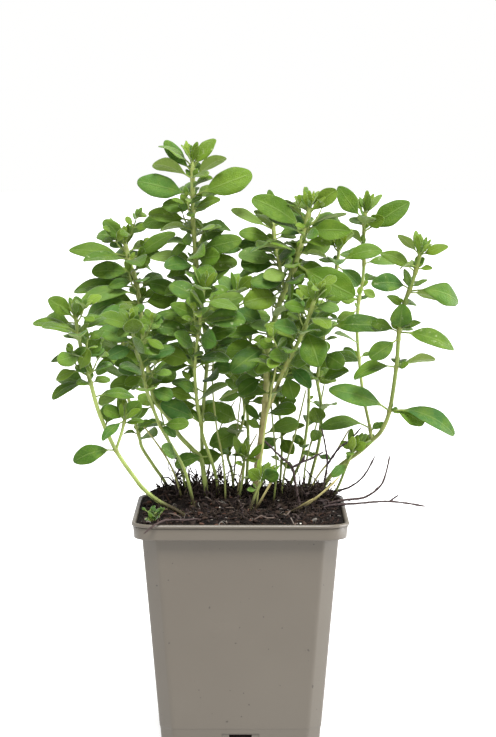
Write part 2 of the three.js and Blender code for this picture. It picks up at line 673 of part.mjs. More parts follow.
function buildPot() {
  const ledge = POT_HEIGHT - RIM_BAND;
  const shell = solid(
    loft([
      bodyRing(0, FOOT_INSET),
      bodyRing(FOOT_HEIGHT, FOOT_INSET),
      bodyRing(FOOT_HEIGHT + FOOT_INSET, 0),
      bodyRing(ledge, 0),
      rimRing(ledge, RIM_LIP_PROUD + RIM_TAPER),
      rimRing(POT_HEIGHT - RIM_LIP, RIM_LIP_PROUD),
      rimRing(POT_HEIGHT - RIM_LIP, 0),
      rimRing(POT_HEIGHT, 0),
      rimRing(POT_HEIGHT, RIM_WALL),
      rimRing(ledge + WALL, RIM_WALL),
      bodyRing(ledge + WALL, WALL),
      bodyRing(FLOOR, WALL + FOOT_INSET),
    ]),
  );
  const cutters = [
    ...footCutters(SLOT_WIDTH + 2 * RECESS_BESIDE, RECESS_FACE, SLOT_HEIGHT + RECESS_ABOVE),
    ...footCutters(SLOT_WIDTH, SLOT_END, SLOT_HEIGHT),
  ];
  return cutters.reduce((pot, cutter) => pot.subtract(cutter), shell);
}

// ---- soil ----

// Height of the soil's surface: level in front, mounded behind, with lumps.
function soilHeight(x, y) {
  const back = THREE.MathUtils.smoothstep(y, -12, 40);
  const edge = 1 - THREE.MathUtils.smoothstep(Math.max(Math.abs(x), Math.abs(y)), 44, 54);
  const lumps = 0.8 * Math.sin(0.33 * x + 1.3) * Math.cos(0.29 * y) + 0.5 * Math.sin(0.61 * y + 0.4 * x);
  return SOIL_LEVEL + SOIL_MOUND * back * edge + lumps * (0.35 + 0.65 * edge);
}

function buildSoil(stalks) {
  const ledge = POT_HEIGHT - RIM_BAND + WALL;
  const surface = SOIL_RINGS.map((share) => {
    const half = (RIM_HALF - RIM_WALL - GAP) * share;
    const corner = Math.max(RIM_CORNER - RIM_WALL - GAP, half * 0.3) * share;
    const ring = squareRing(half, corner, 0, true);
    return ring.map((p) => new THREE.Vector3(p.x, p.y, soilHeight(p.x, p.y)));
  });
  const body = solid(
    loft([
      bodyRing(FLOOR + GAP, WALL + FOOT_INSET + GAP),
      bodyRing(ledge + GAP, WALL + GAP),
      rimRing(ledge + GAP, RIM_WALL + GAP),
      rimRing(SOIL_LEVEL - 1.2, RIM_WALL + GAP),
      ...surface,
      [new THREE.Vector3(0, 0, soilHeight(0, 0))],
    ]),
  );
  const holes = stalks.map(({ route, radius, offset, buried }) => {
    const wide = [radius[0] + GAP + 0.1, radius[1] + GAP + 0.1];
    return solid(tube(route, wide, sectionPlaces(route, offset, -0.08, buried)));
  });
  return holes.reduce((soil, hole) => soil.subtract(hole), body);
}

// ---- stalks ----

// A leafy stalk's sections lie halfway between its route's points, so that a leaf's root, which is
// at a point, meets one flat side. A bare twig's lie at the points. The first stalk of each piece
// stands in the soil, whose hole for it runs as far as the place `buried` on its route.
const LEAFY = { offset: 0.5, buried: 1.45 };
const BARE = { offset: 0, buried: 2.2 };

// A point on the smooth line through a route; place counts route points, and may run a little
// outside the ends along the end direction.
function routePoint(route, place) {
  const last = route.length - 1;
  const curve = new THREE.CatmullRomCurve3(route.map(vector), false, "catmullrom", 0.5);
  const inside = Math.min(Math.max(place, 0), last);
  const point = curve.getPoint(inside / last);
  const outside = place - inside;
  if (outside === 0) return point;
  const from = outside < 0 ? 0 : last - 1;
  const step = vector(route[from + 1]).sub(vector(route[from]));
  return point.addScaledVector(step, outside);
}

// The places where a tube has sections: its ends, and in between at `offset` of each step, 0.5
// being halfway.
function sectionPlaces(route, offset, from = 0, to = route.length - 1) {
  const places = [from];
  for (let k = Math.max(0, Math.floor(from)); k < to; k++) {
    const span = vector(route[k]).distanceTo(vector(route[k + 1]));
    const steps = Math.max(1, Math.round(span / STEP_LENGTH));
    for (let s = 0; s < steps; s++) {
      const place = k + (s + offset) / steps;
      if (place > from + 0.05 && place < to - 0.05) places.push(place);
    }
  }
  places.push(to);
  return places;
}

// The middle of the tube at a place, on the straight line between two of its sections.
function tubeMiddle(route, offset, place) {
  const places = sectionPlaces(route, offset);
  const next = Math.max(1, places.findIndex((p) => p >= place));
  const [before, after] = [places[next - 1], places[next]];
  const share = (place - before) / (after - before);
  return routePoint(route, before).lerp(routePoint(route, after), share);
}

// A tapering tube with sections at the given places on its route.
function tube(route, radius, places) {
  const last = route.length - 1;
  const rings = places.map((place) => {
    const centre = routePoint(route, place);
    const ahead = routePoint(route, place + 0.05);
    const behind = routePoint(route, place - 0.05);
    const tangent = ahead.sub(behind).normalize();
    const across = new THREE.Vector3(0, 1, 0).cross(tangent).normalize();
    const over = tangent.clone().cross(across);
    const r = lerp(radius[0], radius[1], Math.max(place, 0) / last);
    return Array.from({ length: STALK_SIDES }, (_, k) => {
      const angle = (k / STALK_SIDES) * 2 * Math.PI;
      return centre
        .clone()
        .addScaledVector(across, r * Math.cos(angle))
        .addScaledVector(over, r * Math.sin(angle));
    });
  });
  return loft(rings);
}

// ---- leaves ----

// Sections of a blade, by the length that it has at least. Each is
// [share of the length, share of the full half width].
const BLADES = [
  { least: 18, sections: [[0.26, 0.2], [0.56, 0.97], [0.84, 0.74]] },
  { least: 11, sections: [[0.42, 0.82], [0.78, 0.84]] },
  { least: 0, sections: [[0.62, 0.95]] },
];

// The frame of a leaf from its base to its tip: its directions, its length and its arch.
function leafFrame(base, reach, { face, arch, width }) {
  const length = reach.length();
  const along = reach.clone().divideScalar(length);
  const normal = new THREE.Vector3(0, -Math.sin(radians(face)), Math.cos(radians(face)));
  normal.addScaledVector(along, -normal.dot(along)).normalize();
  const side = along.clone().cross(normal);
  return { base, length, along, normal, side, arch, half: length * WIDTH_SHARE * width };
}

// A point of the blade at a share of its length and a signed share of its half width there.
function leafPoint(leaf, share, across, halfShare, lift) {
  const bow = 2 * leaf.arch * leaf.length;
  const half = leaf.half * halfShare;
  const normal = leaf.normal
    .clone()
    .addScaledVector(leaf.along, (-bow * (1 - 2 * share)) / leaf.length)
    .normalize();
  return leaf.base
    .clone()
    .addScaledVector(leaf.along, leaf.length * share)
    .addScaledVector(leaf.normal, bow * share * (1 - share))
    .addScaledVector(leaf.side, half * across)
    .addScaledVector(normal, FOLD * half * Math.abs(across) + lift);
}

function leafSolid(leaf) {
  const { sections } = BLADES.find(({ least }) => leaf.length >= least);
  const section = (share, halfShare, thickness) => [
    leafPoint(leaf, share, -1, halfShare, 0),
    leafPoint(leaf, share, 0, halfShare, thickness / 2),
    leafPoint(leaf, share, 1, halfShare, 0),
    leafPoint(leaf, share, 0, halfShare, -thickness / 2),
  ];
  const rootShare = PETIOLE_HALF / leaf.half;
  return solid(
    loft([
      section(0, rootShare, 2 * PETIOLE_HALF),
      ...sections.map(([share, halfShare]) => section(share, halfShare, BLADE_THICKNESS)),
      [leafPoint(leaf, 1, 0, 0, 0)],
    ]),
  );
}

// Points spread over the blade, to measure how close two leaves come.
const SAMPLES = [[0.38, 0.6], [0.56, 0.97], [0.7, 0.97], [0.86, 0.7], [1, 0]];

function leafSamples(leaf) {
  const points = [];
  for (const [share, halfShare] of SAMPLES) {
    for (const across of halfShare ? [-1, 0, 1] : [0]) {
      points.push(leafPoint(leaf, share, across, halfShare, 0));
    }
  }
  return points;
}

function stalkSamples(stalk) {
  const points = [];
  const last = stalk.route.length - 1;
  for (let k = 0; k < last; k++) {
    const span = vector(stalk.route[k]).distanceTo(vector(stalk.route[k + 1]));
    const steps = Math.max(1, Math.round(span / 3));
    for (let s = 0; s < steps; s++) points.push(routePoint(stalk.route, k + s / steps));
  }
  points.push(routePoint(stalk.route, last));
  return points;
}

function nearest(points, others, limit) {
  let best = limit;
  for (const p of points) {
    for (const q of others) best = Math.min(best, p.distanceTo(q));
  }
  return best;
}

// How much room a leaf has, as a share of the room it needs; 1 or more is enough.
function room(samples, stem, placed, stalks) {
  let least = 1;
  const centre = samples[4];
  for (const other of stalks) {
    if (other.points.every((p) => p.distanceTo(centre) > 30)) continue;
    const away = other.stem === stem ? samples.slice(3) : samples;
    least = Math.min(least, nearest(away, other.points, STALK_CLEAR) / STALK_CLEAR);
  }
  for (const other of placed) {
    if (other.samples[4].distanceTo(centre) > 42) continue;
    least = Math.min(least, nearest(samples, other.samples, CLEAR) / CLEAR);
  }
  for (const p of samples) {
    if (Math.max(Math.abs(p.x), Math.abs(p.y)) > RIM_HALF + 2) continue;
    const above = p.z - Math.max(soilHeight(p.x, p.y), POT_HEIGHT);
    least = Math.min(least, above / SOIL_CLEAR);
  }
  return least;
}

// The leaf's reach swung sideways and tilted, in degrees.
function swung(reach, turn, tilt) {
  const length = reach.length();
  const flat = Math.hypot(reach.x, reach.y);
  const azimuth = Math.atan2(reach.y, reach.x) + radians(turn);
  const rise = Math.min(Math.atan2(reach.z, flat) + radians(tilt), radians(86));
  return new THREE.Vector3(
    length * Math.cos(rise) * Math.cos(azimuth),
    length * Math.cos(rise) * Math.sin(azimuth),
    length * Math.sin(rise),
  );
}

// Swings a leaf until it is clear of all that is placed; returns null where nothing is.
function settle(stem, base, reach, shape, placed, stalks) {
  let best = null;
  for (const tilt of TILTS) {
    for (const turn of TURNS) {
      const leaf = leafFrame(base, swung(reach, turn, tilt), shape);
      const samples = leafSamples(leaf);
      const free = room(samples, stem, placed, stalks);
      if (free >= 1) return { leaf, samples, stem };
      if (!best || free > best.free) best = { leaf, samples, stem, free };
    }
  }
  return best.free * CLEAR >= LEAST_CLEAR ? best : null;
}

// The form of a leaf that fills in.
function randomShape(random) {
  const face = 15 + 45 * random();
  const arch = 0.05 + 0.13 * random();
  const width = 0.9 + 0.25 * random();
  return { face, arch, width };
}

// Where a leaf's root sits: inside the stalk, on the side that the leaf leaves by, and a little
// short of the stalk's end.
function leafBase(stalk, place, reach) {
  const last = stalk.route.length - 1;
  const radius = lerp(stalk.radius[0], stalk.radius[1], place / last);
  const middle = tubeMiddle(stalk.route, LEAFY.offset, Math.min(place, last - 0.12));
  return middle.addScaledVector(reach, (ROOT_DEPTH * radius) / reach.length());
}

// All leaves of all stems, each clear of those before it: first those with a set form, then those
// that fill in.
function growLeaves(stems, stalks) {
  const placed = [];
  const grow = (stem, stalk, place, reach, shape) => {
    const base = leafBase(stalk, place, reach);
    const leaf = settle(stem.name, base, reach, shape, placed, stalks);
    if (leaf) placed.push(leaf);
  };
  for (const filling of [false, true]) {
    for (const stem of stems) {
      const random = randomStream(stem.seed);
      for (const stalk of stem.stalks) {
        for (const [place, x, y, z, face, arch, width] of stalk.leaves) {
          if (filling !== (face === undefined)) continue;
          const shape = filling ? randomShape(random) : { face, arch, width };
          grow(stem, stalk, place, new THREE.Vector3(x, y, z), shape);
        }
      }
    }
  }
  return placed;
}

// ---- the whole plant ----

const GREEN = { color: 0x4f8228, roughness: 0.6 };
const DEAD_WOOD = { color: 0x4a4045, roughness: 0.85 };
const PLASTIC = { color: 0x8a8073, roughness: 0.55 };
const EARTH = { color: 0x2c1f19, roughness: 0.95 };

function stalkSolids(piece, { offset }) {
  return piece.stalks.map(({ route, radius }) =>
    solid(tube(route, radius, sectionPlaces(route, offset))),
  );
}

const allStalks = STEMS.flatMap((stem) =>
  stem.stalks.map((stalk) => ({ stem: stem.name, points: stalkSamples(stalk) })),
).concat(
  TWIGS.flatMap((twig) =>
    twig.stalks.map((stalk) => ({ stem: twig.name, points: stalkSamples(stalk) })),
  ),
);
const leaves = growLeaves(STEMS, allStalks);

const rooted = [
  ...STEMS.map(({ stalks }) => ({ ...stalks[0], ...LEAFY })),
  ...TWIGS.map(({ stalks }) => ({ ...stalks[0], ...BARE })),
];

const group = new THREE.Group();
group.name = "oregano_in_pot";
group.add(meshOf("pot", buildPot(), PLASTIC));
group.add(meshOf("soil", buildSoil(rooted), EARTH));
for (const stem of STEMS) {
  const blades = leaves.filter((leaf) => leaf.stem === stem.name).map(({ leaf }) => leafSolid(leaf));
  const whole = fused([...stalkSolids(stem, LEAFY), ...blades]);
  group.add(meshOf(stem.name, whole, GREEN));
}
for (const twig of TWIGS) {
  group.add(meshOf(twig.name, fused(stalkSolids(twig, BARE)), DEAD_WOOD));
}

export default group;
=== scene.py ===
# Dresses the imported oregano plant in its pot. Leaves, stalks and twigs grow from the same data
# and by the same rules as the part's solids, with finer skins. Lengths are in millimetres until
# a piece is made.
import math
import random
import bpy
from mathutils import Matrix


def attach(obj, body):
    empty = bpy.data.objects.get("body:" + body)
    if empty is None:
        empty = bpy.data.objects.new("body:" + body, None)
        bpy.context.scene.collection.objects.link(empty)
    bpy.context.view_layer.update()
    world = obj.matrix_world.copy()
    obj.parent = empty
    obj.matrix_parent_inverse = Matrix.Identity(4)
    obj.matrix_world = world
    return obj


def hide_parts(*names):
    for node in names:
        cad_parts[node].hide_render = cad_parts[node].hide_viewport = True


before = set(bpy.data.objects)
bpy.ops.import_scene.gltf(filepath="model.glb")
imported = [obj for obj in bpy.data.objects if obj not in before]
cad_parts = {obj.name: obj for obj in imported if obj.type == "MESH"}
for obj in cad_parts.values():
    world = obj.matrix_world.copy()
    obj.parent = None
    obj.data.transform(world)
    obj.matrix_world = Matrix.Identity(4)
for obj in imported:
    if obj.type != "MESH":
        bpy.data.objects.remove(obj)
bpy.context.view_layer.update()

from types import SimpleNamespace

import bpy
import numpy as np
from mathutils import Vector, noise

MM = 0.001

# ---- the part's own sizes ----

# The pot. A half is measured from the pot's middle to an outer face.
POT_HEIGHT = 120
RIM_HALF = 55.9
RIM_BAND = 8.3
RIM_CORNER = 13
RIM_WALL = 2.3
BODY_TOP_HALF = 50.6
BODY_BASE_HALF = 41.1
CHAMFER_TOP = 8
CHAMFER_BASE = 6.8
WALL = 1.6
FLOOR = 2.2
FOOT_HEIGHT = 10.8
FOOT_INSET = 0.25
# The drain slots in the foot, and the shallow recess round each.
SLOT_WIDTH = 11.7
SLOT_HEIGHT = 6.8
SLOT_END = 35.1
RECESS_BESIDE = 3.9
RECESS_ABOVE = 0.7
RECESS_FACE = 40.9
# The soil, and the gap between it and the pot.
GAP = 0.35
SOIL_LEVEL = 118.9
SOIL_MOUND = 6.6
SOIL_HALF = RIM_HALF - RIM_WALL - GAP
SOIL_CORNER = RIM_CORNER - RIM_WALL - GAP
# Stalks: the length of a section, how deep a leaf is sunk in its stalk, as a share of the radius,
# how near to the last point of its route a leaf may grow, and how far apart its samples are.
STEP_LENGTH = 11
ROOT_DEPTH = 0.42
END_MARGIN = 0.12
STALK_SAMPLE = 3
# Leaves: half width as a share of the length, and the fold at the midrib.
WIDTH_SHARE = 0.25
FOLD = 0.24
# The room that a leaf needs from others, and the least it gets; the same from stalks and the
# soil; how far over the rim the soil's room counts; and how near a neighbour is.
CLEAR = 2.8
LEAST_CLEAR = 2.1
STALK_CLEAR = 2.6
SOIL_CLEAR = 2.2
OVER_RIM = 2
NEIGHBOUR = 30
# How a leaf may be swung, in degrees, to find its room.
TURNS = (0, 14, -14, 28, -28, 44, -44)
TILTS = (0, 14, -14, 28, -28)
STEEPEST = 86
# Where a blade is sampled to measure its room: share of its length, share of its half width.
SAMPLES = ((0.38, 0.6), (0.56, 0.97), (0.7, 0.97), (0.86, 0.7), (1, 0))

# A stem is (name, seed, stalks), and a stalk is (radius at root and tip, route, leaves). A leaf is
# (place along the route in points, tip offset x, y, z, face, arch, width), or only the first four
# where its form is random. `face` is how many degrees the upper face is turned from the sky to the
# front, and a width of 1 makes a blade half as wide as the leaf is long.
STEMS = [
  ("stem_left", 11, [
    ((1.3, 0.85), [
      (-25, -13, 108), (-30, -17, 119), (-43, -22, 127.5), (-50, -26, 134), (-54, -29, 139.5),
      (-64, -37, 156), (-72, -44, 176), (-76, -49, 192), (-79, -53, 203), (-81, -56, 214), (-83, -58, 227),
    ], [
      (5, -21, -6, -5, 70, 0.4, 0.8), (7, -19, -4, -7, 20, 0.25, 0.8), (7, -8, -7, 1, 35, 0.2, 0.9),
      (8, -16, -5, 1, 40, 0.35, 0.8), (8, 7, -4, 12, 65, 0.2, 1.1), (9.3, -22, -6, 5, 25, 0.25, 0.8),
      (9.3, 5, -4, 5, 50, 0.1, 0.9), (10, -13, -4, 10, 75, 0.1, 0.95), (10, 4, -3, 8, 70, 0.1, 0.8),
      (7, 9, 8, 2), (8, 5, 12, 4), (9.2, -4, 12, 5), (10, 1, 8, 7),
    ]),
    ((0.85, 0.65), [
      (-64, -37, 156), (-61, -37, 165), (-59, -40, 173),
    ], [
      (2, -10, -6, 6, 65, 0.15, 1), (2, 8, -8, 10, 75, 0.1, 1.1), (1.8, -14, -7, -5, 40, 0.2, 0.75),
      (1.6, 9, -6, 2, 40, 0.15, 0.85),
    ]),
  ]),
  ("stem_left_rear", 23, [
    ((1.1, 0.75), [
      (-38, 39, 110), (-40, 42, 125), (-48, 46, 137), (-54, 49, 146), (-56, 52, 153), (-63, 58, 177),
      (-65, 63, 191), (-65, 67, 205), (-64, 70, 214),
    ], [
      (5, -15, -4, -6, 55, 0.3, 0.8), (6.3, -14, -5, -10, 60, 0.4, 0.75), (6.8, -13, -5, 0, 75, 0.15, 1.15),
      (4, 13, 8, 4), (4, -8, 2, -2), (5, 12, -6, 8), (5, 2, 17, 1), (6, 15, -4, 5), (7, 4, 16, 2),
      (7, -11, 8, 6), (8, -10, -2, 10), (8, 9, 3, 9), (8, 1, 8, 9),
    ]),
  ]),
  ("stem_mid_left", 37, [
    ((1.2, 0.85), [
      (-15, 20, 107), (-18, 19, 122), (-21, 18, 143), (-26, 17, 149.5), (-33, 17, 157), (-39, 17, 167),
      (-46, 17, 176), (-48, 17, 188), (-51, 18, 199), (-52, 19, 211), (-53, 20, 219), (-54, 22, 227),
      (-56, 25, 239), (-60, 28, 250), (-62, 31, 259),
    ], [
      (6.5, 13, -5, -3, 55, 0.15, 1), (7.3, 17, -7, 3, 60, 0.15, 0.95), (8.1, 8, -9, 3, 65, 0.15, 1.1),
      (9.2, 19, -4, -3, 50, 0.2, 0.85), (9.8, 21, -6, -2, 60, 0.3, 0.85),
      (10.5, -21, -13, -4, 65, 0.2, 0.85), (11, -27, -7, -9, 55, 0.4, 0.75),
      (11.4, -30, -10, -3, 50, 0.3, 0.65), (11.7, -34, -3, -2, 50, 0.25, 0.6),
      (11.9, 24, -6, -5, 60, 0.35, 0.75), (12, -24, 8, 0, 40, 0.15, 0.7), (12, -13, -13, -2, 75, 0.1, 0.6),
      (12.4, -19, -11, 1, 70, 0.15, 0.85), (12.4, 9, -4, 8, 75, 0.1, 0.9),
      (12.9, 23, -6, 16, 55, 0.15, 0.55), (13, -26, -9, 1, 45, 0.2, 0.65),
      (13.2, -31, -4, 4, 60, 0.25, 0.65), (13.6, -9, 6, 3, 40, 0.1, 0.9), (14, -11, -3, 13, 75, 0.1, 0.85),
      (14, 4, 2, 11, 50, 0.05, 0.6), (7, -8, 10, -3), (8, 12, 9, 3), (8.2, -12, 10, -2), (9, -10, 12, 2),
      (10, 6, 14, 2), (11, 4, 17, 3), (12, -6, 14, 3), (13, 5, 11, 4),
    ]),
  ]),
  ("stem_mid_left_front", 41, [
    ((1, 0.75), [
      (-24, 6, 108), (-25, 5, 121), (-30, 1, 141), (-38, -5, 157), (-42, -9, 165), (-46, -14, 176),
      (-49, -18, 186), (-51, -22, 197), (-54, -26, 209), (-56, -29, 219),
    ], [
      (4, 15, -7, 1, 55, 0.2, 0.85), (4, 6, -6, -6, 55, 0.25, 0.95), (4.2, -11, 3, -2, 50, 0.15, 0.75),
      (5, -11, -4, -5, 60, 0.15, 0.85), (5.9, 13, -5, -3, 60, 0.15, 1), (6.6, -9, -6, -4, 65, 0.1, 1),
      (7.1, -13, -7, 1, 65, 0.15, 0.95), (8, -14, -8, -5, 60, 0.15, 0.85), (8, 12, -7, -3, 60, 0.15, 1),
      (9, -7, -6, -3, 65, 0.1, 1.1), (9, 7, -5, 5, 60, 0.1, 0.9), (6, 6, 10, 3), (9, -4, 5, 7),
    ]),
  ]),
  ("stem_tall", 53, [
    ((1.15, 0.9), [
      (-19, 31, 107), (-20, 30, 122), (-21, 26, 159), (-20, 23, 172), (-18, 18, 199), (-20, 14, 219),
      (-22, 10, 232), (-23, 7, 246), (-24, 4, 259), (-25, 2, 272), (-25, -1, 284), (-25, -3, 295),
      (-25, -4, 304),
    ], [
      (3.8, 13, -6, -1, 55, 0.15, 0.9), (6.5, -17, -5, -6, 60, 0.15, 0.9), (6.9, 10, -8, -4, 70, 0.15, 1),
      (7.2, -14, -8, -5, 65, 0.15, 0.8), (7.3, -24, -3, 3, 50, 0.12, 0.7),
      (7.4, 12, -13, 3, 75, 0.15, 1.15), (7.8, 24, -7, 6, 70, 0.15, 0.75), (7.9, 15, 6, 13, 60, 0.15, 0.75),
      (7.8, 24, 7, 2, 50, 0.1, 0.7), (8.2, -6, -10, 1, 80, 0.1, 1.1), (8.4, -12, -3, -11, 60, 0.2, 0.6),
      (8.6, -17, -12, 2, -25, 0.15, 0.8), (8.8, -29, 4, 1, 60, 0.15, 0.6), (9, -20, 12, 4, 55, 0.1, 0.7),
      (9.2, 7, -6, -9, -30, 0.1, 0.75), (9.4, -15, -4, 4, 60, 0.12, 0.9), (9.45, 14, -9, 6, 55, 0.12, 0.8),
      (9.9, 13, 8, 5, 50, 0.15, 0.9), (10.1, -28, -6, 8, 75, 0.12, 0.8), (10.1, 30, -6, 12, 75, 0.12, 0.78),
      (10.4, 10, -11, 6, 50, 0.2, 0.8), (10.9, -20, -7, 9, -35, 0.15, 0.8),
      (10.9, 17, -6, 12, -35, 0.1, 0.75), (11.3, -14, -3, 16, 60, 0.1, 0.65),
      (11.4, 11, -4, 16, 70, 0.08, 0.7), (12, -2, 3, 10, 60, 0.05, 0.5), (12, 3, -2, 9, 60, 0.05, 0.55),
      (4, 14, 9, 2), (4, -12, 12, 2), (5, -14, 8, -2), (5, 12, 11, 5), (6, 6, 16, 2), (8.3, 3, 15, 3),
      (10, -2, 16, 5), (11, 1, 9, 8),
    ]),
  ]),
  ("stem_sprouting", 67, [
    ((1, 0.75), [
      (-12, 20, 107), (-12, 20, 121), (-14, 15, 138), (-20, 9, 157), (-21, 5, 164), (-23, -1, 177),
      (-24, -9, 197), (-22, -16, 214), (-20, -22, 229), (-19, -26, 239),
    ], [
      (4.1, -20, -7, 10, 65, 0.15, 0.85), (5, -14, -4, 6, 60, 0.25, 0.85), (5.3, -10, -5, 5, 65, 0.1, 1),
      (6, -18, 6, -1, 55, 0.1, 0.85), (6.1, -20, -6, 7, 70, 0.15, 1), (7, -25, -3, 5, 60, 0.25, 0.65),
      (6.9, -25, 5, -2, 50, 0.2, 0.6), (7, 9, -13, -3, 85, 0.1, 1.2), (7.6, -15, -8, 7, 65, 0.15, 0.85),
      (7.6, -23, 4, 2, 40, 0.1, 0.45), (7.7, 22, 4, 9, 60, 0.15, 0.75), (7.5, 25, -5, 0, 60, 0.2, 0.8),
      (7.8, -3, -10, 14, 75, 0.05, 0.8), (8.6, 4, 2, 11, 60, 0.05, 0.55), (9, -5, -3, 7, 70, 0.05, 0.7),
      (9, 4, -4, 6, 70, 0.05, 0.8), (4, 8, 10, 3), (6, 6, 12, 3), (8, -2, 12, 4),
    ]),
  ]),
  ("stem_trunk", 79, [
    ((1.85, 1), [
      (8, 21, 106), (8, 20, 121), (8, 19, 130), (9, 17, 143), (11, 14, 157), (13, 10, 176), (14, 6, 195),
      (15, 3, 209), (19, 0, 224), (23, -3, 236), (28, -6, 248), (31, -9, 259), (34, -11, 269),
      (36, -13, 280),
    ], [
      (4.2, -7, -5, 5, 70, 0.1, 0.8), (4.4, -8, -4, 9, 75, 0.1, 0.7), (5.5, -25, 6, -9, -25, 0.1, 0.5),
      (5.7, -14, -6, -8, 65, 0.15, 0.95), (6, -19, -10, -3, -25, 0.35, 0.6),
      (6.8, -24, -4, -12, 70, 0.15, 0.85), (7.2, -25, 7, 0, 50, 0.12, 0.6),
      (7.5, -11, -12, 1, 65, 0.2, 0.9), (8.6, -19, -14, -1, 75, 0.25, 0.95),
      (9.4, -21, -7, 0, 60, 0.2, 0.8), (9.9, -1, -9, -15, -30, 0.1, 0.9),
      (10.2, 30, -17, -15, 75, 0.1, 0.85), (10.7, 14, -10, -1, -25, 0.1, 0.8),
      (10.8, -25, -11, 1, -30, 0.2, 0.75), (11.2, 15, -5, 0, 55, 0.1, 0.85),
      (11.8, 23, -8, 1, 70, 0.15, 0.85), (11.8, -27, -8, 17, 65, 0.2, 0.72), (12, 21, 6, 7, -20, 0.1, 0.7),
      (12.3, -13, -5, 11, -20, 0.15, 0.8), (12.6, 14, -4, 13, 75, 0.1, 0.82), (13, -4, 0, 7, 60, 0.05, 0.6),
      (13, 1, -3, 7, 60, 0.05, 0.6), (5, 11, 9, 3), (6, 8, 12, 4), (7, 13, 11, 3), (8, 10, 12, 2),
      (9, -8, 14, 3), (10, 8, 14, 3), (11, 4, 14, 3), (12, 3, 13, 6), (13, 2, 6, 9),
    ]),
    ((1.25, 0.8), [
      (12, 12, 166), (17, 3, 179), (22, -8, 193), (26, -16, 202), (31, -25, 213), (35, -32, 224),
      (38, -37, 234),
    ], [
      (2.1, 5, -8, -13, 70, 0.1, 1.2), (2.6, 14, 5, -7, 50, 0.1, 0.7), (2.5, 14, -6, -11, 55, 0.15, 0.8),
      (3, -11, -12, 1, 65, 0.2, 0.9), (4.2, -14, -9, 5, 60, 0.2, 0.95), (4.5, 7, -15, -18, 70, 0.1, 1.15),
      (5.6, 13, -8, -1, 55, 0.15, 0.85), (5.3, -13, -5, 4, 60, 0.15, 0.9), (6, 8, -6, 8, 65, 0.1, 0.85),
      (6, -8, -4, 8, 60, 0.1, 0.85),
    ]),
    ((1, 0.75), [
      (23, -3, 236), (20, 2, 251), (18, 6, 262), (17, 9, 272),
    ], [
      (0.9, -21, 6, -5, 50, 0.15, 0.65), (1, -21, -5, 4, 60, 0.15, 0.82), (1.5, -20, 3, 3, 55, 0.15, 0.75),
      (1.9, -18, 6, 5, 60, 0.15, 0.85), (2.3, -10, -7, 13, -30, 0.1, 0.65),
      (2.5, -22, 4, 11, 50, 0.05, 0.5), (3, -2, 3, 17, 70, 0.05, 0.55), (3, 8, 6, 12, 50, 0.1, 0.5),
      (2.7, 8, -4, 6, 60, 0.1, 0.9), (1, 10, 10, 3), (2, 11, 8, 2), (3, -6, 8, 7),
    ]),
  ]),
  ("stem_right_front", 83, [
    ((1, 0.75), [
      (36, 41, 110), (37, 42, 126), (41, 36, 144), (43, 31, 157), (43, 26, 173), (41, 20, 187),
      (43, 16, 202), (45, 12, 216), (46, 10, 226), (49, 9, 238), (51, 9, 249), (52, 9, 258),
    ], [
      (3.2, -4, -9, 11, 80, 0.1, 1.1), (3.1, -4, -9, -5, 75, 0.1, 1.1), (4.9, 15, -8, 6, 60, 0.1, 0.85),
      (6, 11, -11, -6, 75, 0.15, 1.2), (6.4, 7, -3, 2, 35, 0.1, 0.9), (6.9, 33, -7, 1, 60, 0.45, 0.62),
      (7.6, 5, -4, -2, 50, 0.2, 0.8), (9.9, 12, 4, -10, 60, 0.1, 0.85), (10, 23, -5, 8, 55, 0.2, 0.7),
      (11, -9, 3, 6, 60, 0.1, 0.85), (11, 7, -3, 9, -20, 0.05, 0.75), (11, -2, -7, 6, 70, 0.1, 0.8),
      (2, -7, -5, 2), (2, 7, -5, -1), (5, -10, 8, -3), (5, 8, 10, 3), (7, -9, 8, 3), (9, 5, 12, 2),
      (10, -9, 9, 3), (11, 0, 6, 9),
    ]),
  ]),
  ("stem_right_rear", 97, [
    ((0.95, 0.7), [
      (26, 43, 110), (27, 43, 126), (33, 42, 141), (36, 44, 158), (37, 47, 172), (37, 52, 183),
      (37, 58, 197), (35, 63, 210), (33, 67, 222),
    ], [
      (4, 10, 8, -3), (5, 15, 3, -1), (5, -14, 4, 1), (6, -4, 16, 2), (6, 12, -5, 5), (7, -15, 4, 4),
      (7, 14, 6, 3), (8, -10, 3, 8), (8, 9, 5, 8), (8, 1, -8, 9),
    ]),
  ]),
  ("stem_right", 101, [
    ((1.4, 0.85), [
      (38, 31, 110), (43, 29, 124), (48, 27, 133), (54, 24, 140), (64, 20, 148), (70, 17, 154),
      (75, 13, 160), (79, 9, 171), (82, 1, 195), (83, -5, 214), (85, -9, 228), (88, -12, 237),
      (91, -15, 247), (93, -17, 256),
    ], [
      (7, -32, -7, 11, 55, 0.3, 0.68), (7, 34, -6, -12, 40, 0.35, 0.52), (7, 16, -9, -7, 55, 0.15, 0.85),
      (8, 20, -4, 5, -30, 0.15, 0.85), (8, -22, -7, -5, 45, 0.4, 0.65), (8, 7, -5, 3, 60, 0.1, 0.8),
      (8.8, -15, -8, -9, 65, 0.15, 0.95), (9, 1, -8, 15, 85, 0.1, 1.2), (9, 28, -5, -8, 55, 0.35, 0.72),
      (9.1, 10, -4, 4, 50, 0.1, 0.75), (9, -14, 5, 5, 55, 0.15, 0.8), (10, -8, -3, 6, 55, 0.15, 0.95),
      (10.9, 26, 4, -6, 60, 0.4, 0.8), (10.8, 16, -10, -4, -35, 0.1, 0.9), (11, -20, -9, 3, 60, 0.35, 0.8),
      (11, -6, -5, 10, 60, 0.2, 0.7), (11.1, 8, -7, 4, 50, 0.1, 0.7), (11.9, -17, 4, 10, 55, 0.25, 0.8),
      (12.2, -13, -8, 1, -30, 0.2, 0.9), (12.9, -11, -3, 11, -30, 0.05, 0.8),
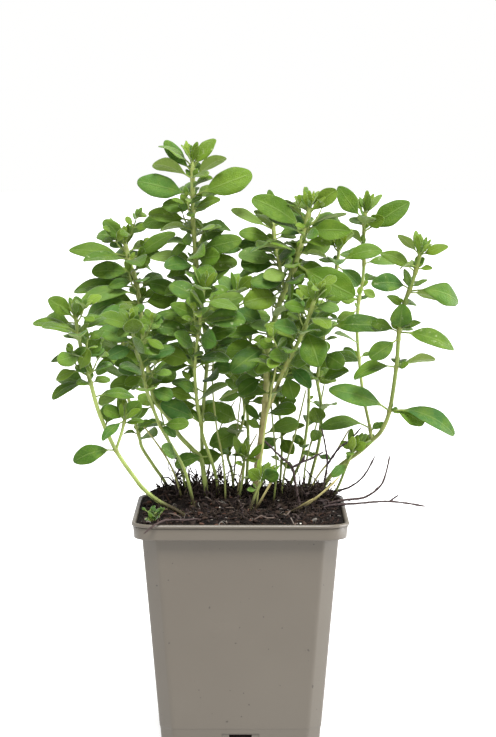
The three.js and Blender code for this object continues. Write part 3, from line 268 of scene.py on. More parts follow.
      (12.9, 14, -3, 5, 60, 0.1, 0.75), (13, 1, -3, 7, 60, 0.05, 0.6), (8, 3, 15, 3), (9, 4, 17, 2),
      (10, 6, 13, 2), (11, 2, 15, 3), (12, -4, 12, 4), (13, 3, 7, 6),
    ]),
    ((0.95, 0.75), [
      (70, 17, 154), (69, 25, 162), (66, 32, 177), (64, 39, 196), (63, 43, 212), (64, 47, 226),
      (66, 49, 236), (67, 51, 248), (67, 54, 267), (68, 56, 275),
    ], [
      (0.8, -26, -7, 1, 50, 0.45, 0.55), (0.6, 8, -3, 4, 45, 0.2, 0.8), (3, -8, -3, 6, 60, 0.1, 0.85),
      (4.7, -11, -8, -6, 60, 0.2, 0.9), (5.2, -10, -3, 0, 60, 0.1, 0.95), (5.7, 7, -5, -4, 70, 0.1, 0.95),
      (6.9, 16, -6, 0, 55, 0.2, 0.75), (7.2, -8, -7, 2, 70, 0.1, 1), (7.4, -8, -4, 10, -15, 0.1, 0.95),
      (7.8, 24, -3, 17, 65, 0.1, 0.75), (8.1, 10, -8, 5, 75, 0.1, 1), (8.3, -14, -4, 19, 70, 0.08, 0.78),
      (8.7, 2, -2, 11, 60, 0.05, 0.6), (3, 9, 6, 4), (4, -6, 8, 3), (4, 13, 5, 3), (5, 3, 15, 3),
      (6, 8, 9, 3), (7, 4, 14, 3), (7, -9, 13, 3), (8, -7, 12, 5), (9, 1, 5, 9),
    ]),
  ]),
  ("stem_rear", 113, [
    ((1.05, 0.7), [
      (2, 38, 109), (3, 42, 126), (4, 50, 150), (3, 58, 175), (1, 65, 195), (-1, 71, 213), (-3, 76, 230),
    ], [
      (5.7, -14, -6, 7, 60, 0.2, 0.95), (6, 9, -6, 10, 60, 0.15, 0.95), (5, 17, -6, 3, 60, 0.15, 0.9),
      (5, -18, -5, 2, 60, 0.15, 0.9), (4, -16, -4, 4, 60, 0.15, 0.9), (4, 14, -6, 5, 60, 0.15, 0.9),
      (3, -14, -3, -3), (3, 14, 3, 2), (4, -3, 16, -2), (5, 5, 15, 2), (6, -9, 3, 10), (6, 3, 9, 8),
    ]),
  ]),
  ("thin_stem_left", 127, [
    ((0.85, 0.6), [
      (-5, 33, 110), (-4, 33, 124), (-5, 32, 136), (-7, 31, 144), (-4, 30, 151), (0, 29, 159), (2, 29, 170),
      (0, 30, 181),
    ], [
      (5.3, -17, -8, 10, 75, 0.15, 0.9), (4.9, -16, -12, -7, 75, 0.15, 0.95), (3.2, -6, -8, 4, 60, 0.3, 1),
      (3, 10, -3, 1, 40, 0.1, 0.75), (6.2, 3, -6, 4, 75, 0.1, 0.9), (7, -8, -5, 6, 60, 0.1, 0.9),
      (7, 8, 3, 8),
    ]),
  ]),
  ("thin_stem_centre", 131, [
    ((0.8, 0.55), [
      (21, 37, 110), (21, 36, 124), (22, 34, 140), (22, 30, 156), (20, 24, 173),
    ], [
      (2.9, 12, -3, 7, 35, 0.15, 0.7), (2.9, 6, -8, -8, 75, 0.1, 1.1), (2.9, -11, -7, -5, 70, 0.15, 0.9),
      (2, 6, -5, -2, 60, 0.2, 0.9), (2, -5, 5, 3), (4, 9, -7, 5, 60, 0.1, 0.85), (4, -6, 6, 8),
    ]),
  ]),
  ("sprout_middle", 139, [
    ((0.75, 0.55), [
      (-1, 16, 110), (-1, 16, 121), (1, 14, 134), (2, 11, 146),
    ], [
      (2.6, -4, -5, 2, 60, 0.2, 0.9), (3, -6, -4, 2, 50, 0.2, 0.8), (3, 4, -5, 3, 60, 0.2, 0.8),
      (3, 1, 4, 7), (2, 5, -5, 2),
    ]),
  ]),
  ("sprout_front", 149, [
    ((1, 0.65), [
      (3, -8, 108), (5, -7, 120), (8, -6, 129), (12, -6, 137),
    ], [
      (3, -7, -7, 6, 75, 0.1, 1.1), (3, 8, -8, 5, 80, 0.1, 1.25), (3, 2, 4, 8, 75, 0.1, 1),
      (2.2, -5, -4, 1, 60, 0.1, 0.9),
    ]),
  ]),
  ("sprout_right", 151, [
    ((0.8, 0.6), [
      (45, 14, 110), (48, 14, 121), (53, 13, 132), (57, 11, 143), (60, 10, 150),
    ], [
      (4, -5, -4, 5, 65, 0.1, 1), (4, 6, -5, 5, 65, 0.1, 1), (3, -8, -5, -6, 60, 0.1, 1), (4, 1, -8, 3),
      (4, 1, 5, 6),
    ]),
  ]),
]

# Dead twigs, in the same form without leaves.
TWIGS = [
  ("dead_twig_low", [
    ((0.75, 0.45), [
      (37, 3, 115), (45, 2, 120.6), (53, 1, 122), (62, 1, 122.6), (79, 0, 123.8), (98, -3, 121.6),
    ]),
    ((0.55, 0.35), [
      (79, 0, 123.8), (82, 4, 125.5), (84, 5, 126.5),
    ]),
  ]),
  ("dead_twig_hooked", [
    ((0.75, 0.4), [
      (38, 9, 114), (46, 8, 121), (56, 7, 123.6), (66, 7, 125), (74, 6, 131), (77, 5, 138), (79, 4, 148),
    ]),
  ]),
  ("dead_twig_rising", [
    ((0.7, 0.4), [
      (39, 20, 114), (45, 20, 123), (52, 19, 126.5), (59, 19, 129), (66, 18, 135), (72, 17, 146),
    ]),
  ]),
  ("dead_twig_forked", [
    ((0.7, 0.4), [
      (37, 12, 112), (40, 12, 121), (44, 11, 131), (46, 10, 142), (45, 9, 152), (43, 8, 162),
    ]),
    ((0.6, 0.35), [
      (46, 10, 142), (52, 7, 151), (58, 5, 156), (64, 3, 163),
    ]),
  ]),
  ("dead_twig_knotted", [
    ((0.85, 0.5), [
      (32, 2, 110), (31, 1, 121), (29, 0, 133), (27, -1, 142), (20, -2, 149), (12, -3, 157),
    ]),
    ((0.7, 0.5), [
      (27, -1, 142), (32, -2, 145), (34, -2, 149),
    ]),
    ((0.6, 0.35), [
      (32, -2, 145), (37, -3, 147), (44, -4, 151),
    ]),
  ]),
  ("dead_twig_left", [
    ((0.7, 0.4), [
      (-35, 24, 110), (-34, 24, 122), (-35, 23, 132), (-32, 23, 139), (-28, 24, 142),
    ]),
    ((0.5, 0.35), [
      (-32, 23, 139), (-35, 22, 144), (-39, 21, 146),
    ]),
  ]),
  ("root_over_rim", [
    ((0.6, 0.4), [
      (-14, -33, 112), (-19, -38, 119.6), (-30, -45, 121), (-38, -53, 122.2), (-44, -57.5, 120),
      (-49, -58, 116),
    ]),
  ]),
]

# ---- growth, as in the part ----


def unit(v):
    return v / np.linalg.norm(v)


def square_to(along, hint):
    """Two directions that are square to one and to each other."""
    across = unit(np.cross(along, hint))
    return across, np.cross(across, along)


def spoke(angle, across, over):
    """The direction at an angle between two that are square to each other."""
    return math.cos(angle) * across + math.sin(angle) * over


def random_stream(seed):
    """A repeatable stream of numbers from 0 to 1 (mulberry32)."""
    state = seed

    def draw():
        nonlocal state
        state = (state + 0x6D2B79F5) & 0xFFFFFFFF
        t = ((state ^ (state >> 15)) * (state | 1)) & 0xFFFFFFFF
        t ^= (t + (t ^ (t >> 7)) * (t | 61)) & 0xFFFFFFFF
        return (t ^ (t >> 14)) / 4294967296

    return draw


def route_point(route, place):
    """A point on the smooth line through a route, running straight on past its ends."""
    last = len(route) - 1
    inside = min(max(place, 0), last)
    k = min(int(inside), last - 1)
    t = inside - k
    here, ahead = route[k], route[k + 1]
    behind = route[k - 1] if k else 2 * here - ahead
    beyond = route[k + 2] if k + 2 <= last else 2 * ahead - here
    leaving, arriving = (ahead - behind) / 2, (beyond - here) / 2
    bend = -3 * here + 3 * ahead - 2 * leaving - arriving
    turn = 2 * here - 2 * ahead + leaving + arriving
    point = here + t * leaving + t * t * bend + t**3 * turn
    if place != inside:
        k = 0 if place < inside else last - 1
        point = point + (place - inside) * (route[k + 1] - route[k])
    return point


def heading_at(route, place, reach=0.05):
    """A route's direction at a place."""
    return unit(route_point(route, place + reach) - route_point(route, place - reach))


def tapered(radius, place, last):
    """A stalk's radius at a place, from those at its root and its tip."""
    return radius[0] + (radius[1] - radius[0]) * place / last


def whole_steps(route, k, length):
    """How many steps of about a length lie between point k of a route and the next."""
    span = np.linalg.norm(route[k + 1] - route[k])
    return max(1, math.floor(span / length + 0.5))


def section_places(route):
    """The places where the part's stalk has sections."""
    last = len(route) - 1
    places = [0]
    for k in range(last):
        steps = whole_steps(route, k, STEP_LENGTH)
        middles = [k + (s + 0.5) / steps for s in range(steps)]
        places += [place for place in middles if 0.05 < place < last - 0.05]
    return places + [last]


def tube_middle(route, place):
    """The middle of the part's stalk, which runs straight from section to section."""
    places = section_places(route)
    after = next(max(1, i) for i, p in enumerate(places) if p >= place)
    share = (place - places[after - 1]) / (places[after] - places[after - 1])
    a, b = route_point(route, places[after - 1]), route_point(route, places[after])
    return a + share * (b - a)


def smoothstep(x, low, high):
    t = np.clip((x - low) / (high - low), 0, 1)
    return t * t * (3 - 2 * t)


def soil_height(x, y):
    back = smoothstep(y, -12, 40)
    edge = 1 - smoothstep(np.maximum(np.abs(x), np.abs(y)), 44, 54)
    lumps = 0.8 * np.sin(0.33 * x + 1.3) * np.cos(0.29 * y) + 0.5 * np.sin(0.61 * y + 0.4 * x)
    return SOIL_LEVEL + SOIL_MOUND * back * edge + lumps * (0.35 + 0.65 * edge)


def leaf_frame(base, reach, shape):
    face, arch, width = shape
    length = np.linalg.norm(reach)
    along = reach / length
    sky = np.array((0, -math.sin(math.radians(face)), math.cos(math.radians(face))))
    normal = unit(sky - np.dot(sky, along) * along)
    return SimpleNamespace(
        base=base, length=length, along=along, normal=normal, side=np.cross(along, normal),
        arch=arch, half=length * WIDTH_SHARE * width, shift=np.zeros(3),
    )


def bowed(leaf, share):
    """How strongly a leaf is arched, and its normal at a share of its length."""
    bow = 2 * leaf.arch * leaf.length
    return bow, unit(leaf.normal - (bow * (1 - 2 * share) / leaf.length) * leaf.along)


def leaf_point(leaf, share, across, half_share):
    """A point of the part's blade; across runs from -1 to 1 between its margins."""
    bow, normal = bowed(leaf, share)
    half = leaf.half * half_share
    return (
        leaf.base
        + leaf.length * share * leaf.along
        + bow * share * (1 - share) * leaf.normal
        + half * across * leaf.side
        + FOLD * half * abs(across) * normal
    )


def leaf_samples(leaf):
    return np.array([
        leaf_point(leaf, share, across, half_share)
        for share, half_share in SAMPLES
        for across in ((-1, 0, 1) if half_share else (0,))
    ])


def stalk_samples(route):
    points = []
    for k in range(len(route) - 1):
        steps = whole_steps(route, k, STALK_SAMPLE)
        points += [route_point(route, k + s / steps) for s in range(steps)]
    return np.array(points + [route[-1]])


def nearest(points, others, limit):
    """The least distance between two sets of points, up to a limit. Only those others count that
    are near one of a blade's middle points."""
    if not len(others):
        return limit
    near = others[np.abs(others - points[4 % len(points)]).max(1) < NEIGHBOUR]
    if not len(near):
        return limit
    away = np.linalg.norm(points[:, None] - near[None], axis=2).min()
    return min(limit, away)


def room(samples, own, other, placed):
    """How much room a leaf has, as a share of the room it needs; 1 or more is enough. Its first
    three samples, beside its root, may be near its own stalk."""
    least = min(1, nearest(samples[3:], own, STALK_CLEAR) / STALK_CLEAR)
    least = min(least, nearest(samples, other, STALK_CLEAR) / STALK_CLEAR)
    least = min(least, nearest(samples, placed, CLEAR) / CLEAR)
    for x, y, z in samples:
        if max(abs(x), abs(y)) <= RIM_HALF + OVER_RIM:
            above = z - max(soil_height(x, y), POT_HEIGHT)
            least = min(least, above / SOIL_CLEAR)
    return least


def swung(reach, turn, tilt):
    x, y, z = reach
    length = np.linalg.norm(reach)
    azimuth = math.atan2(y, x) + math.radians(turn)
    rise = min(math.atan2(z, math.hypot(x, y)) + math.radians(tilt), math.radians(STEEPEST))
    flat = length * math.cos(rise)
    return np.array((flat * math.cos(azimuth), flat * math.sin(azimuth), length * math.sin(rise)))


def settle(base, reach, shape, own, other, placed):
    """Swings a leaf until it is clear of all that is placed; None where it finds no room."""
    best = None
    for tilt in TILTS:
        for turn in TURNS:
            leaf = leaf_frame(base, swung(reach, turn, tilt), shape)
            samples = leaf_samples(leaf)
            free = room(samples, own, other, placed)
            if free >= 1:
                return leaf, samples
            if best is None or free > best[0]:
                best = (free, leaf, samples)
    return best[1:] if best[0] * CLEAR >= LEAST_CLEAR else None


def random_shape(draw):
    return 15 + 45 * draw(), 0.05 + 0.13 * draw(), 0.9 + 0.25 * draw()


def grow_leaves(stems, lines):
    """All leaves of all stems, each clear of those before it: first those with a set form, then
    those that fill in. lines holds (stem, points)."""
    leaves = []
    placed = np.empty((0, 3))
    for filling in (False, True):
        for name, seed, stalks in stems:
            draw = random_stream(seed)
            own = np.vstack([points for stem, points in lines if stem == name])
            other = np.vstack([points for stem, points in lines if stem != name])
            for radius, route, listed in stalks:
                last = len(route) - 1
                for place, x, y, z, *shape in listed:
                    if filling == bool(shape):
                        continue
                    shape = shape or random_shape(draw)
                    reach = np.array((x, y, z), float)
                    thick = tapered(radius, place, last)
                    at = min(place, last - END_MARGIN)
                    root = tube_middle(route, at)
                    base = root + ROOT_DEPTH * thick / np.linalg.norm(reach) * reach
                    found = settle(base, reach, shape, own, other, placed)
                    if found:
                        leaf, samples = found
                        leaf.stem, leaf.route, leaf.place, leaf.radius = name, route, place, thick
                        leaf.shift = route_point(route, at) - root
                        leaves.append(leaf)
                        placed = np.vstack([placed, samples])
    return leaves, placed


# ---- skins ----

# How far a blade's end hangs below its arch: from this share of its length on, as the square.
DROOP_FROM = 0.55
DROOP_AT_TIP = 0.2025
# A blade's half thickness at its base, and how much less it is at the tip.
BLADE_THICK = 0.26
BLADE_THINNING = 0.1
# The fold is rounded at the midrib: the square root of u * u plus the first, less the second.
FOLD_ROUND = 0.006
FOLD_DEPTH = 0.077
VEIN_PAIRS = 5
# The ranges of what makes one leaf's form unlike another's, in the order in which it is drawn.
LOOK = {
    "stout": (0.9, 1.1), "broad": (1.05, 1.16), "wedge": (0.85, 1.3), "widest": (0.46, 0.62),
    "blunt": (0.42, 0.62), "twist": (-0.7, 0.7), "droop": (0.0, 0.38), "lean": (-0.16, 0.16),
    "fold": (0.5, 2.0), "curl": (0.02, 0.3), "wave": (0.0, 0.1), "uneven": (0.0, 0.045),
    "phase": (0, 6.28),
}
# How far a knot reaches along a stalk, and by what share it swells it.
KNOT_REACH = 1.15
KNOT_SWELL = 0.3
# The four faces of a hair, over its three foot points and its tip.
HAIR_FACES = [(0, 1, 2), (0, 3, 1), (1, 3, 2), (2, 3, 0)]


def link(name, data):
    """A new object in the scene."""
    made = bpy.data.objects.new(name, data)
    bpy.context.scene.collection.objects.link(made)
    return made


class Skin:
    """Closed shapes gathered into one mesh. Each point carries two marks of three numbers, which
    the materials read: form says where it is on its own leaf or stalk, tone how it is coloured."""

    def __init__(self):
        self.points, self.faces, self.slots = [], [], []
        self.form, self.tone = [], []

    def add(self, points, faces, tone=(0, 0, 0), slot=0, form=None):
        """Adds a shape; tone is a list with an entry for each point, or one entry for them all."""
        first = len(self.points)
        self.points.extend(points)
        self.faces.extend([tuple(first + i for i in face) for face in faces])
        self.slots.extend([slot] * len(faces))
        self.form.extend(form or [(0, 0, 0)] * len(points))
        self.tone.extend(tone if isinstance(tone, list) else [tone] * len(points))

    def piece(self, name, materials, replaced=()):
        mesh = bpy.data.meshes.new(name)
        mesh.from_pydata([tuple(p) for p in np.array(self.points) * MM], [], self.faces)
        for material in materials:
            mesh.materials.append(material)
        mesh.polygons.foreach_set("material_index", self.slots)
        mesh.polygons.foreach_set("use_smooth", [True] * len(self.faces))
        for label, values in (("form", self.form), ("tone", self.tone)):
            held = mesh.attributes.new(label, "FLOAT_VECTOR", "POINT")
            held.data.foreach_set("vector", np.array(values, np.float32).ravel())
        mesh.update()
        made = link(name, mesh)
        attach(made, "root")
        if replaced:
            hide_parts(*replaced)
        return made


def ring_faces(rows, around, tip=False):
    """Faces of a closed skin of rings: a cap on the first, and a cap or a tip on the last."""
    faces = [tuple(range(around - 1, -1, -1))]
    for r in range(rows - 1):
        for k in range(around):
            a, b = r * around + k, r * around + (k + 1) % around
            faces.append((a, b, b + around, a + around))
    last = (rows - 1) * around
    if tip:
        faces += [(last + k, last + (k + 1) % around, last + around) for k in range(around)]
    else:
        faces.append(tuple(range(last, last + around)))
    return faces


def spread_at(s, look):
    """A blade's half width along it: wedge-shaped at its base, widest near its middle, and blunt."""
    if s < look.widest:
        return math.sin(math.pi / 2 * s / look.widest) ** look.wedge
    return max(0.0, math.cos(math.pi / 2 * (s - look.widest) / (1 - look.widest))) ** look.blunt


def blade_centre(leaf, look, share, bow):
    """The middle of a leaf's section, arched, leaning to a side and drooping at its end."""
    droop = look.droop * leaf.length * max(0.0, share - DROOP_FROM) ** 2
    return (
        leaf.base
        + leaf.shift * max(0.0, 1 - share / 0.3)
        + leaf.length * share * leaf.along
        + (bow * share * (1 - share) - droop) * leaf.normal
        + look.lean * leaf.length * share * (share - 1) * leaf.side
    )


def add_blade(skin, leaf, look, rows, around):
    """One leaf: a thin stalk that widens into a blade, arched, folded at its midrib, with its
    margins turned a little down."""
    petiole = look.petiole
    thin = (0.24 + 0.008 * leaf.length) * look.stout
    ends = 0.5 - 0.5 * np.cos(np.pi * np.arange(1, rows + 1) / (rows + 1))
    shares = np.concatenate([[0, 0.35 * petiole, 0.8 * petiole], petiole + (1 - petiole) * ends])
    angles = 2 * math.pi * np.arange(around) / around
    u, over = np.cos(angles), np.sin(angles)
    under = 0.5 - 0.5 * np.clip(over * 4, -1, 1)
    points, form, tones = [], [], []
    for share in shares:
        s = max(0.0, (share - petiole) / (1 - petiole))
        margin = 1 + look.uneven * math.sin(15 * s + look.phase)
        half = math.hypot(thin, leaf.half * look.broad * margin * spread_at(s, look))
        stem = 1 - smoothstep(share, petiole * 0.6, petiole + 0.16)
        thick = thin * stem + (BLADE_THICK - BLADE_THINNING * s) * (1 - stem)
        bow, normal = bowed(leaf, share)
        twist = look.twist * max(0.0, share - 0.3)
        side = math.cos(twist) * leaf.side + math.sin(twist) * normal
        normal = math.cos(twist) * normal - math.sin(twist) * leaf.side
        rise = look.fold * half * (np.sqrt(u * u + FOLD_ROUND) - FOLD_DEPTH)
        rise -= look.curl * half * u**4 * (1 - stem)
        wave = look.wave * half * np.sin(9 * s + 2.2 * np.sign(u) + look.phase) * u**4
        veins = np.sin(2 * math.pi * (VEIN_PAIRS * s - 1.1 * np.abs(u)))
        veins = 0.1 * veins * (1 - u**4) * (1 - stem) * min(1, leaf.length / 16)
        rise = rise + wave * (1 - stem) + veins * (over > 0)
        centre = blade_centre(leaf, look, share, bow)
        points.extend(centre + half * u[:, None] * side + (rise + thick * over)[:, None] * normal)
        form.extend(zip(0.5 + 0.5 * u, np.full(around, s), under))
        on_stalk = 1 - smoothstep(share, petiole * 0.9, petiole + 0.1)
        tones.extend([(look.chance, look.youth, on_stalk)] * around)
    tip = leaf_point(leaf, 1, 0, 0) - look.droop * leaf.length * DROOP_AT_TIP * leaf.normal
    points.append(tip)
    form.append((0.5, 1, 0.5))
    tones.append((look.chance, look.youth, 0))
    skin.add(points, ring_faces(len(shares), around, tip=True), tones, 0, form)


def leaf_look(rand, youth, length):
    """How one leaf differs from others: its form within the ranges of LOOK, and its colour."""
    petiole = rand.uniform(0.14, 0.21) if length > 13 else rand.uniform(0.09, 0.16 + 0.1 * youth)
    look = SimpleNamespace(petiole=petiole, youth=youth)
    for name, limits in LOOK.items():
        setattr(look, name, rand.uniform(*limits))
    look.blunt += 0.1 * youth
    look.fold *= FOLD
    look.chance = rand.random()
    return look


def stalk_axes(route, place):
    """A stalk's direction at a place, and two directions across it."""
    tangent = heading_at(route, place, 0.04)
    across = unit(np.cross((0, 1, 0), tangent))
    return tangent, across, np.cross(tangent, across)


def add_tube(skin, route, radius, tone, around, step, end_taper=1.2, slot=0, swellings=(),
             rough=0, square=0.0):
    """A tapering stalk along a route, with rings of points a step apart, swollen at the places
    where leaves grow from it. tone is what its points are marked with, or gives that for one."""
    last = len(route) - 1
    places = [0]
    for k in range(last):
        span = np.linalg.norm(route[k + 1] - route[k])
        steps = max(2, math.ceil(span / step))
        places += [k + (s + 1) / steps for s in range(steps)]
    centres = np.array([route_point(route, p) for p in places])
    run = np.concatenate([[0], np.cumsum(np.linalg.norm(np.diff(centres, axis=0), axis=1))])
    knots = [np.interp(p, places, run) for p in swellings]
    points, form, tones = [], [], []
    angles = 2 * math.pi * np.arange(around) / around
    for place, centre, along in zip(places, centres, run):
        _, across, over = stalk_axes(route, place)
        r = tapered(radius, place, last)
        knot = max((math.exp(-(((along - at) / KNOT_REACH) ** 2)) for at in knots), default=0)
        r *= 1 + KNOT_SWELL * knot
        left = run[-1] - along
        r *= math.sqrt(min(1, (left + 0.12) / end_taper))
        rr = r * (1 + square * np.cos(4 * angles))
        if rough:
            rr = rr * np.array([1 + rough * noise.noise(Vector((a * 1.3, along * 0.5, r * 9)))
                                for a in angles])
        points.extend(centre + (rr * np.cos(angles))[:, None] * across
                      + (rr * np.sin(angles))[:, None] * over)
        form.extend([(k / around, along * 0.01, knot) for k in range(around)])
        tones.extend([(tone(centre) if callable(tone) else tone)] * around)
    skin.add(points, ring_faces(len(places), around), tones, slot, form)


def add_hairs(skin, route, radius, per_mm, tone, rand):
    """Short hairs that stand out from a stalk, each a slender spike sunk into its surface."""
    last = len(route) - 1
    length = float(np.linalg.norm(np.diff(route, axis=0), axis=1).sum())
    for _ in range(int(length * per_mm)):
        place = rand.uniform(0.02, last)
        centre = route_point(route, place)
        tangent, across, over = stalk_axes(route, place)
        out = spoke(rand.uniform(0, 2 * math.pi), across, over)
        thick = tapered(radius, place, last)
        foot = centre + out * thick * 0.85
        tip = centre + out * (thick + rand.uniform(0.35, 0.8)) - tangent * rand.uniform(0.05, 0.35)
        side = np.cross(out, tangent) * 0.045
        points = [foot + side, foot - side, foot + tangent * 0.08, tip]
        skin.add(points, HAIR_FACES, tone, 1)


# ---- materials ----


class Paint:
    """A material's node tree, written one node at a time."""

    def __init__(self, name):
        self.material = bpy.data.materials.new(name)
        self.material.use_nodes = True
        self.tree = self.material.node_tree
        self.tree.nodes.clear()

    def node(self, kind, sockets=None, **props):
        made = self.tree.nodes.new("ShaderNode" + kind)
        for key, value in props.items():
            setattr(made, key, value)
        for key, value in (sockets or {}).items():
            socket = made.inputs[key]
            if isinstance(value, bpy.types.NodeSocket):
                self.tree.links.new(value, socket)
            elif isinstance(value, tuple) and len(value) == 3 and socket.type == "RGBA":
                socket.default_value = (*value, 1)
            else:
                socket.default_value = value
        return made

    def math(self, operation, *values, clamp=False):
        sockets = dict(enumerate(values))
        return self.node("Math", sockets, operation=operation, use_clamp=clamp).outputs[0]

    def times(self, first, second):
        return self.math("MULTIPLY", first, second)

    def scaled(self, value, by, plus):
        return self.math("MULTIPLY_ADD", value, by, plus)

    def redrawn(self, chance, by):
        """Another random number, made from one."""
        return self.math("FRACT", self.times(chance, by))

    def place(self):
        return self.node("TexCoord").outputs["Object"]

    def split(self, label):
        """The three numbers of a mark that the mesh carries."""
        read = self.node("Attribute", attribute_name=label)
        return self.node("SeparateXYZ", {0: read.outputs["Vector"]}).outputs

    def band(self, value, low, high, first=0.0, last=1.0):
        return self.node("MapRange", {0: value, 1: low, 2: high, 3: first, 4: last},
                         interpolation_type="SMOOTHSTEP").outputs[0]

    def blend(self, share, first, second):
        return self.node("Mix", {0: share, 6: first, 7: second}, data_type="RGBA").outputs[2]

    def layers(self, colour, *layers):
        """A colour with others laid over it, each (share, colour)."""
        for share, over in layers:
            colour = self.blend(share, colour, over)
        return colour

    def speckle(self, scale, detail=4.0, rough=0.55, distort=0.0):
        return self.node("TexNoise", {"Vector": self.place(), "Scale": scale, "Detail": detail,
                                      "Roughness": rough, "Distortion": distort}).outputs["Fac"]

    def streaks(self, form, stretch, chance, scale, detail, rough=0.5):
        """Noise drawn out along a stalk, by how often it repeats around and along."""
        around, along = (self.times(form[k], stretch[k]) for k in (0, 1))
        at = self.node("CombineXYZ", {0: around, 1: along, 2: chance}).outputs[0]
        return self.node("TexNoise", {"Vector": at, "Scale": scale, "Detail": detail,
                                      "Roughness": rough}).outputs["Fac"]

    def bump(self, height, strength, distance, under=None):
        sockets = {"Height": height, "Strength": strength, "Distance": distance}
        if under is not None:
            sockets["Normal"] = under
        return self.node("Bump", sockets).outputs[0]

    def surface(self, colour, rough, specular, normal):
        return self.node("BsdfPrincipled", {"Base Color": colour, "Roughness": rough,
                                            "Specular IOR Level": specular, "Normal": normal})

    def finish(self, shader):
        self.node("OutputMaterial", {"Surface": shader.outputs[0]})
        return self.material


def leaf_veins(p, across, along):
    """How much of a vein is at each place: the midrib, and the side veins in pairs."""
    u = p.math("ABSOLUTE", p.scaled(across, 2.0, -1.0))
    midrib = p.band(u, 0.02, 0.085, 1.0, 0.0)
    wander = p.scaled(p.speckle(260.0, 2.0), 0.35, -0.17)
    slant = p.times(p.math("POWER", u, 0.8), 1.1)
    phase = p.math("ADD", p.math("SUBTRACT", p.times(along, float(VEIN_PAIRS)), slant), wander)
    saw = p.math("ABSOLUTE", p.math("SUBTRACT", p.math("FRACT", phase), 0.5))
    lateral = p.times(p.band(saw, 0.0, 0.075, 1.0, 0.0), p.band(u, 0.55, 0.95, 1.0, 0.0))
    return p.math("MAXIMUM", midrib, p.times(lateral, 0.4))


def leaf_paint():
    """Leaves: deep or fresh green by age, each a little different, paler underneath."""
    p = Paint("leaf_green")
    across, along, under = p.split("form")
    chance, youth, petiole = p.split("tone")
    veins = leaf_veins(p, across, along)
    mottle = p.speckle(150.0, 5.0, 0.6)
    blotch = p.speckle(55.0, 3.0, 0.5, 0.6)
    # Pale specks on some leaves: partly scuff marks, partly painted highlight specks.
    scuffs_and_highlight_specks = p.times(p.band(p.redrawn(chance, 13.7), 0.7, 0.9),
                     p.band(p.speckle(330.0, 3.0), 0.6, 0.7))
    deep = p.blend(chance, (0.017, 0.064, 0.002), (0.06, 0.142, 0.003))
    fresh = p.blend(chance, (0.135, 0.235, 0.007), (0.255, 0.36, 0.035))
    upper = p.layers(
        p.blend(youth, deep, fresh),
        # Some leaves paler and greyer: partly their own colour, partly painted sheen.
        (p.band(chance, 0.84, 1.0, 0.0, 0.45), (0.26, 0.35, 0.1)),
        (p.band(p.redrawn(chance, 7.3), 0.6, 1.0, 0.0, 0.35), (0.135, 0.18, 0.005)),
        (p.band(p.redrawn(chance, 5.1), 0.4, 1.0, 0.0, 0.55), (0.034, 0.128, 0.03)),
        (p.band(blotch, 0.38, 0.7, 0.0, 0.38), (0.018, 0.056, 0.002)),
        (p.band(mottle, 0.42, 0.72, 0.0, 0.55), (0.13, 0.21, 0.016)),
        (p.times(veins, 0.34), (0.2, 0.28, 0.07)),
        (p.times(scuffs_and_highlight_specks, 0.55), (0.4, 0.45, 0.24)),
    )
    lower = p.layers(
        (0.185, 0.265, 0.05),
        (p.times(veins, 0.6), (0.31, 0.39, 0.13)),
        (p.band(mottle, 0.4, 0.75, 0.0, 0.4), (0.23, 0.305, 0.09)),
    )
    colour = p.layers(upper, (under, lower), (petiole, (0.22, 0.29, 0.06)))
    cells = p.node("TexVoronoi", {"Vector": p.place(), "Scale": 900.0},
                   feature="DISTANCE_TO_EDGE").outputs["Distance"]
    height = p.math("ADD", p.times(veins, -0.7), p.band(cells, 0.0, 0.25, 0.0, 0.35))
    normal = p.bump(height, 0.55, 0.0005, p.bump(blotch, 0.35, 0.003))
    rough = p.math("ADD", p.scaled(mottle, 0.25, 0.4), p.times(under, 0.2))
    skin = p.surface(colour, rough, 0.22, normal)
    skin.inputs["Sheen Weight"].default_value = 0.42
    skin.inputs["Sheen Roughness"].default_value = 0.35
    skin.inputs["Sheen Tint"].default_value = (0.95, 1.0, 0.86, 1)
    glow = p.blend(0.55, colour, (0.3, 0.45, 0.006))
    through = p.node("BsdfTranslucent", {"Color": glow, "Normal": normal})
    return p.finish(p.node("MixShader", {0: 0.3, 1: skin.outputs[0], 2: through.outputs[0]}))


def stalk_paint():
    """Stalks: green to straw-coloured, streaked, brown at their knots and soiled at their feet."""
    p = Paint("stalk_green")
    form = p.split("form")
    chance, wood, dirt = p.split("tone")
    streaks = p.streaks(form, (9.0, 18.0), chance, 1.6, 4.0)
    soiled = p.math("MULTIPLY", dirt, p.math("ADD", dirt, p.scaled(streaks, 0.9, -0.1)), clamp=True)
    colour = p.layers(
        # For the leafy stems, chance holds stalk_tone's paleness, which includes painted shade that darkens
        # the stems on the right.
        p.blend(chance, (0.078, 0.12, 0.016), (0.285, 0.35, 0.1)),
        (wood, p.blend(streaks, (0.24, 0.2, 0.075), (0.42, 0.36, 0.17))),
        (p.band(streaks, 0.5, 0.75, 0.0, 0.35), (0.13, 0.17, 0.035)),
        (p.times(form[2], 0.4), (0.15, 0.125, 0.03)),
        (soiled, (0.03, 0.022, 0.01)),
    )
    return p.finish(p.surface(colour, p.scaled(streaks, 0.2, 0.42), 0.2,
                              p.bump(streaks, 0.4, 0.0003)))


def twig_paint():
    """Dead bark, purplish grey, or the brown of roots and old stubs."""
    p = Paint("dead_bark")
    chance, wood, _ = p.split("tone")
    grain = p.streaks(p.split("form"), (7.0, 60.0), chance, 1.3, 5.0, 0.65)
    grey = p.blend(chance, (0.016, 0.011, 0.013), (0.036, 0.022, 0.018))
    dark = p.blend(wood, grey, (0.006, 0.004, 0.003))
    light = p.blend(wood, (0.08, 0.06, 0.06), (0.045, 0.027, 0.015))
    colour = p.blend(p.band(grain, 0.4, 0.72), dark, light)
    return p.finish(p.surface(colour, p.scaled(grain, -0.2, 0.85), 0.16,
                              p.bump(grain, 0.7, 0.0004)))


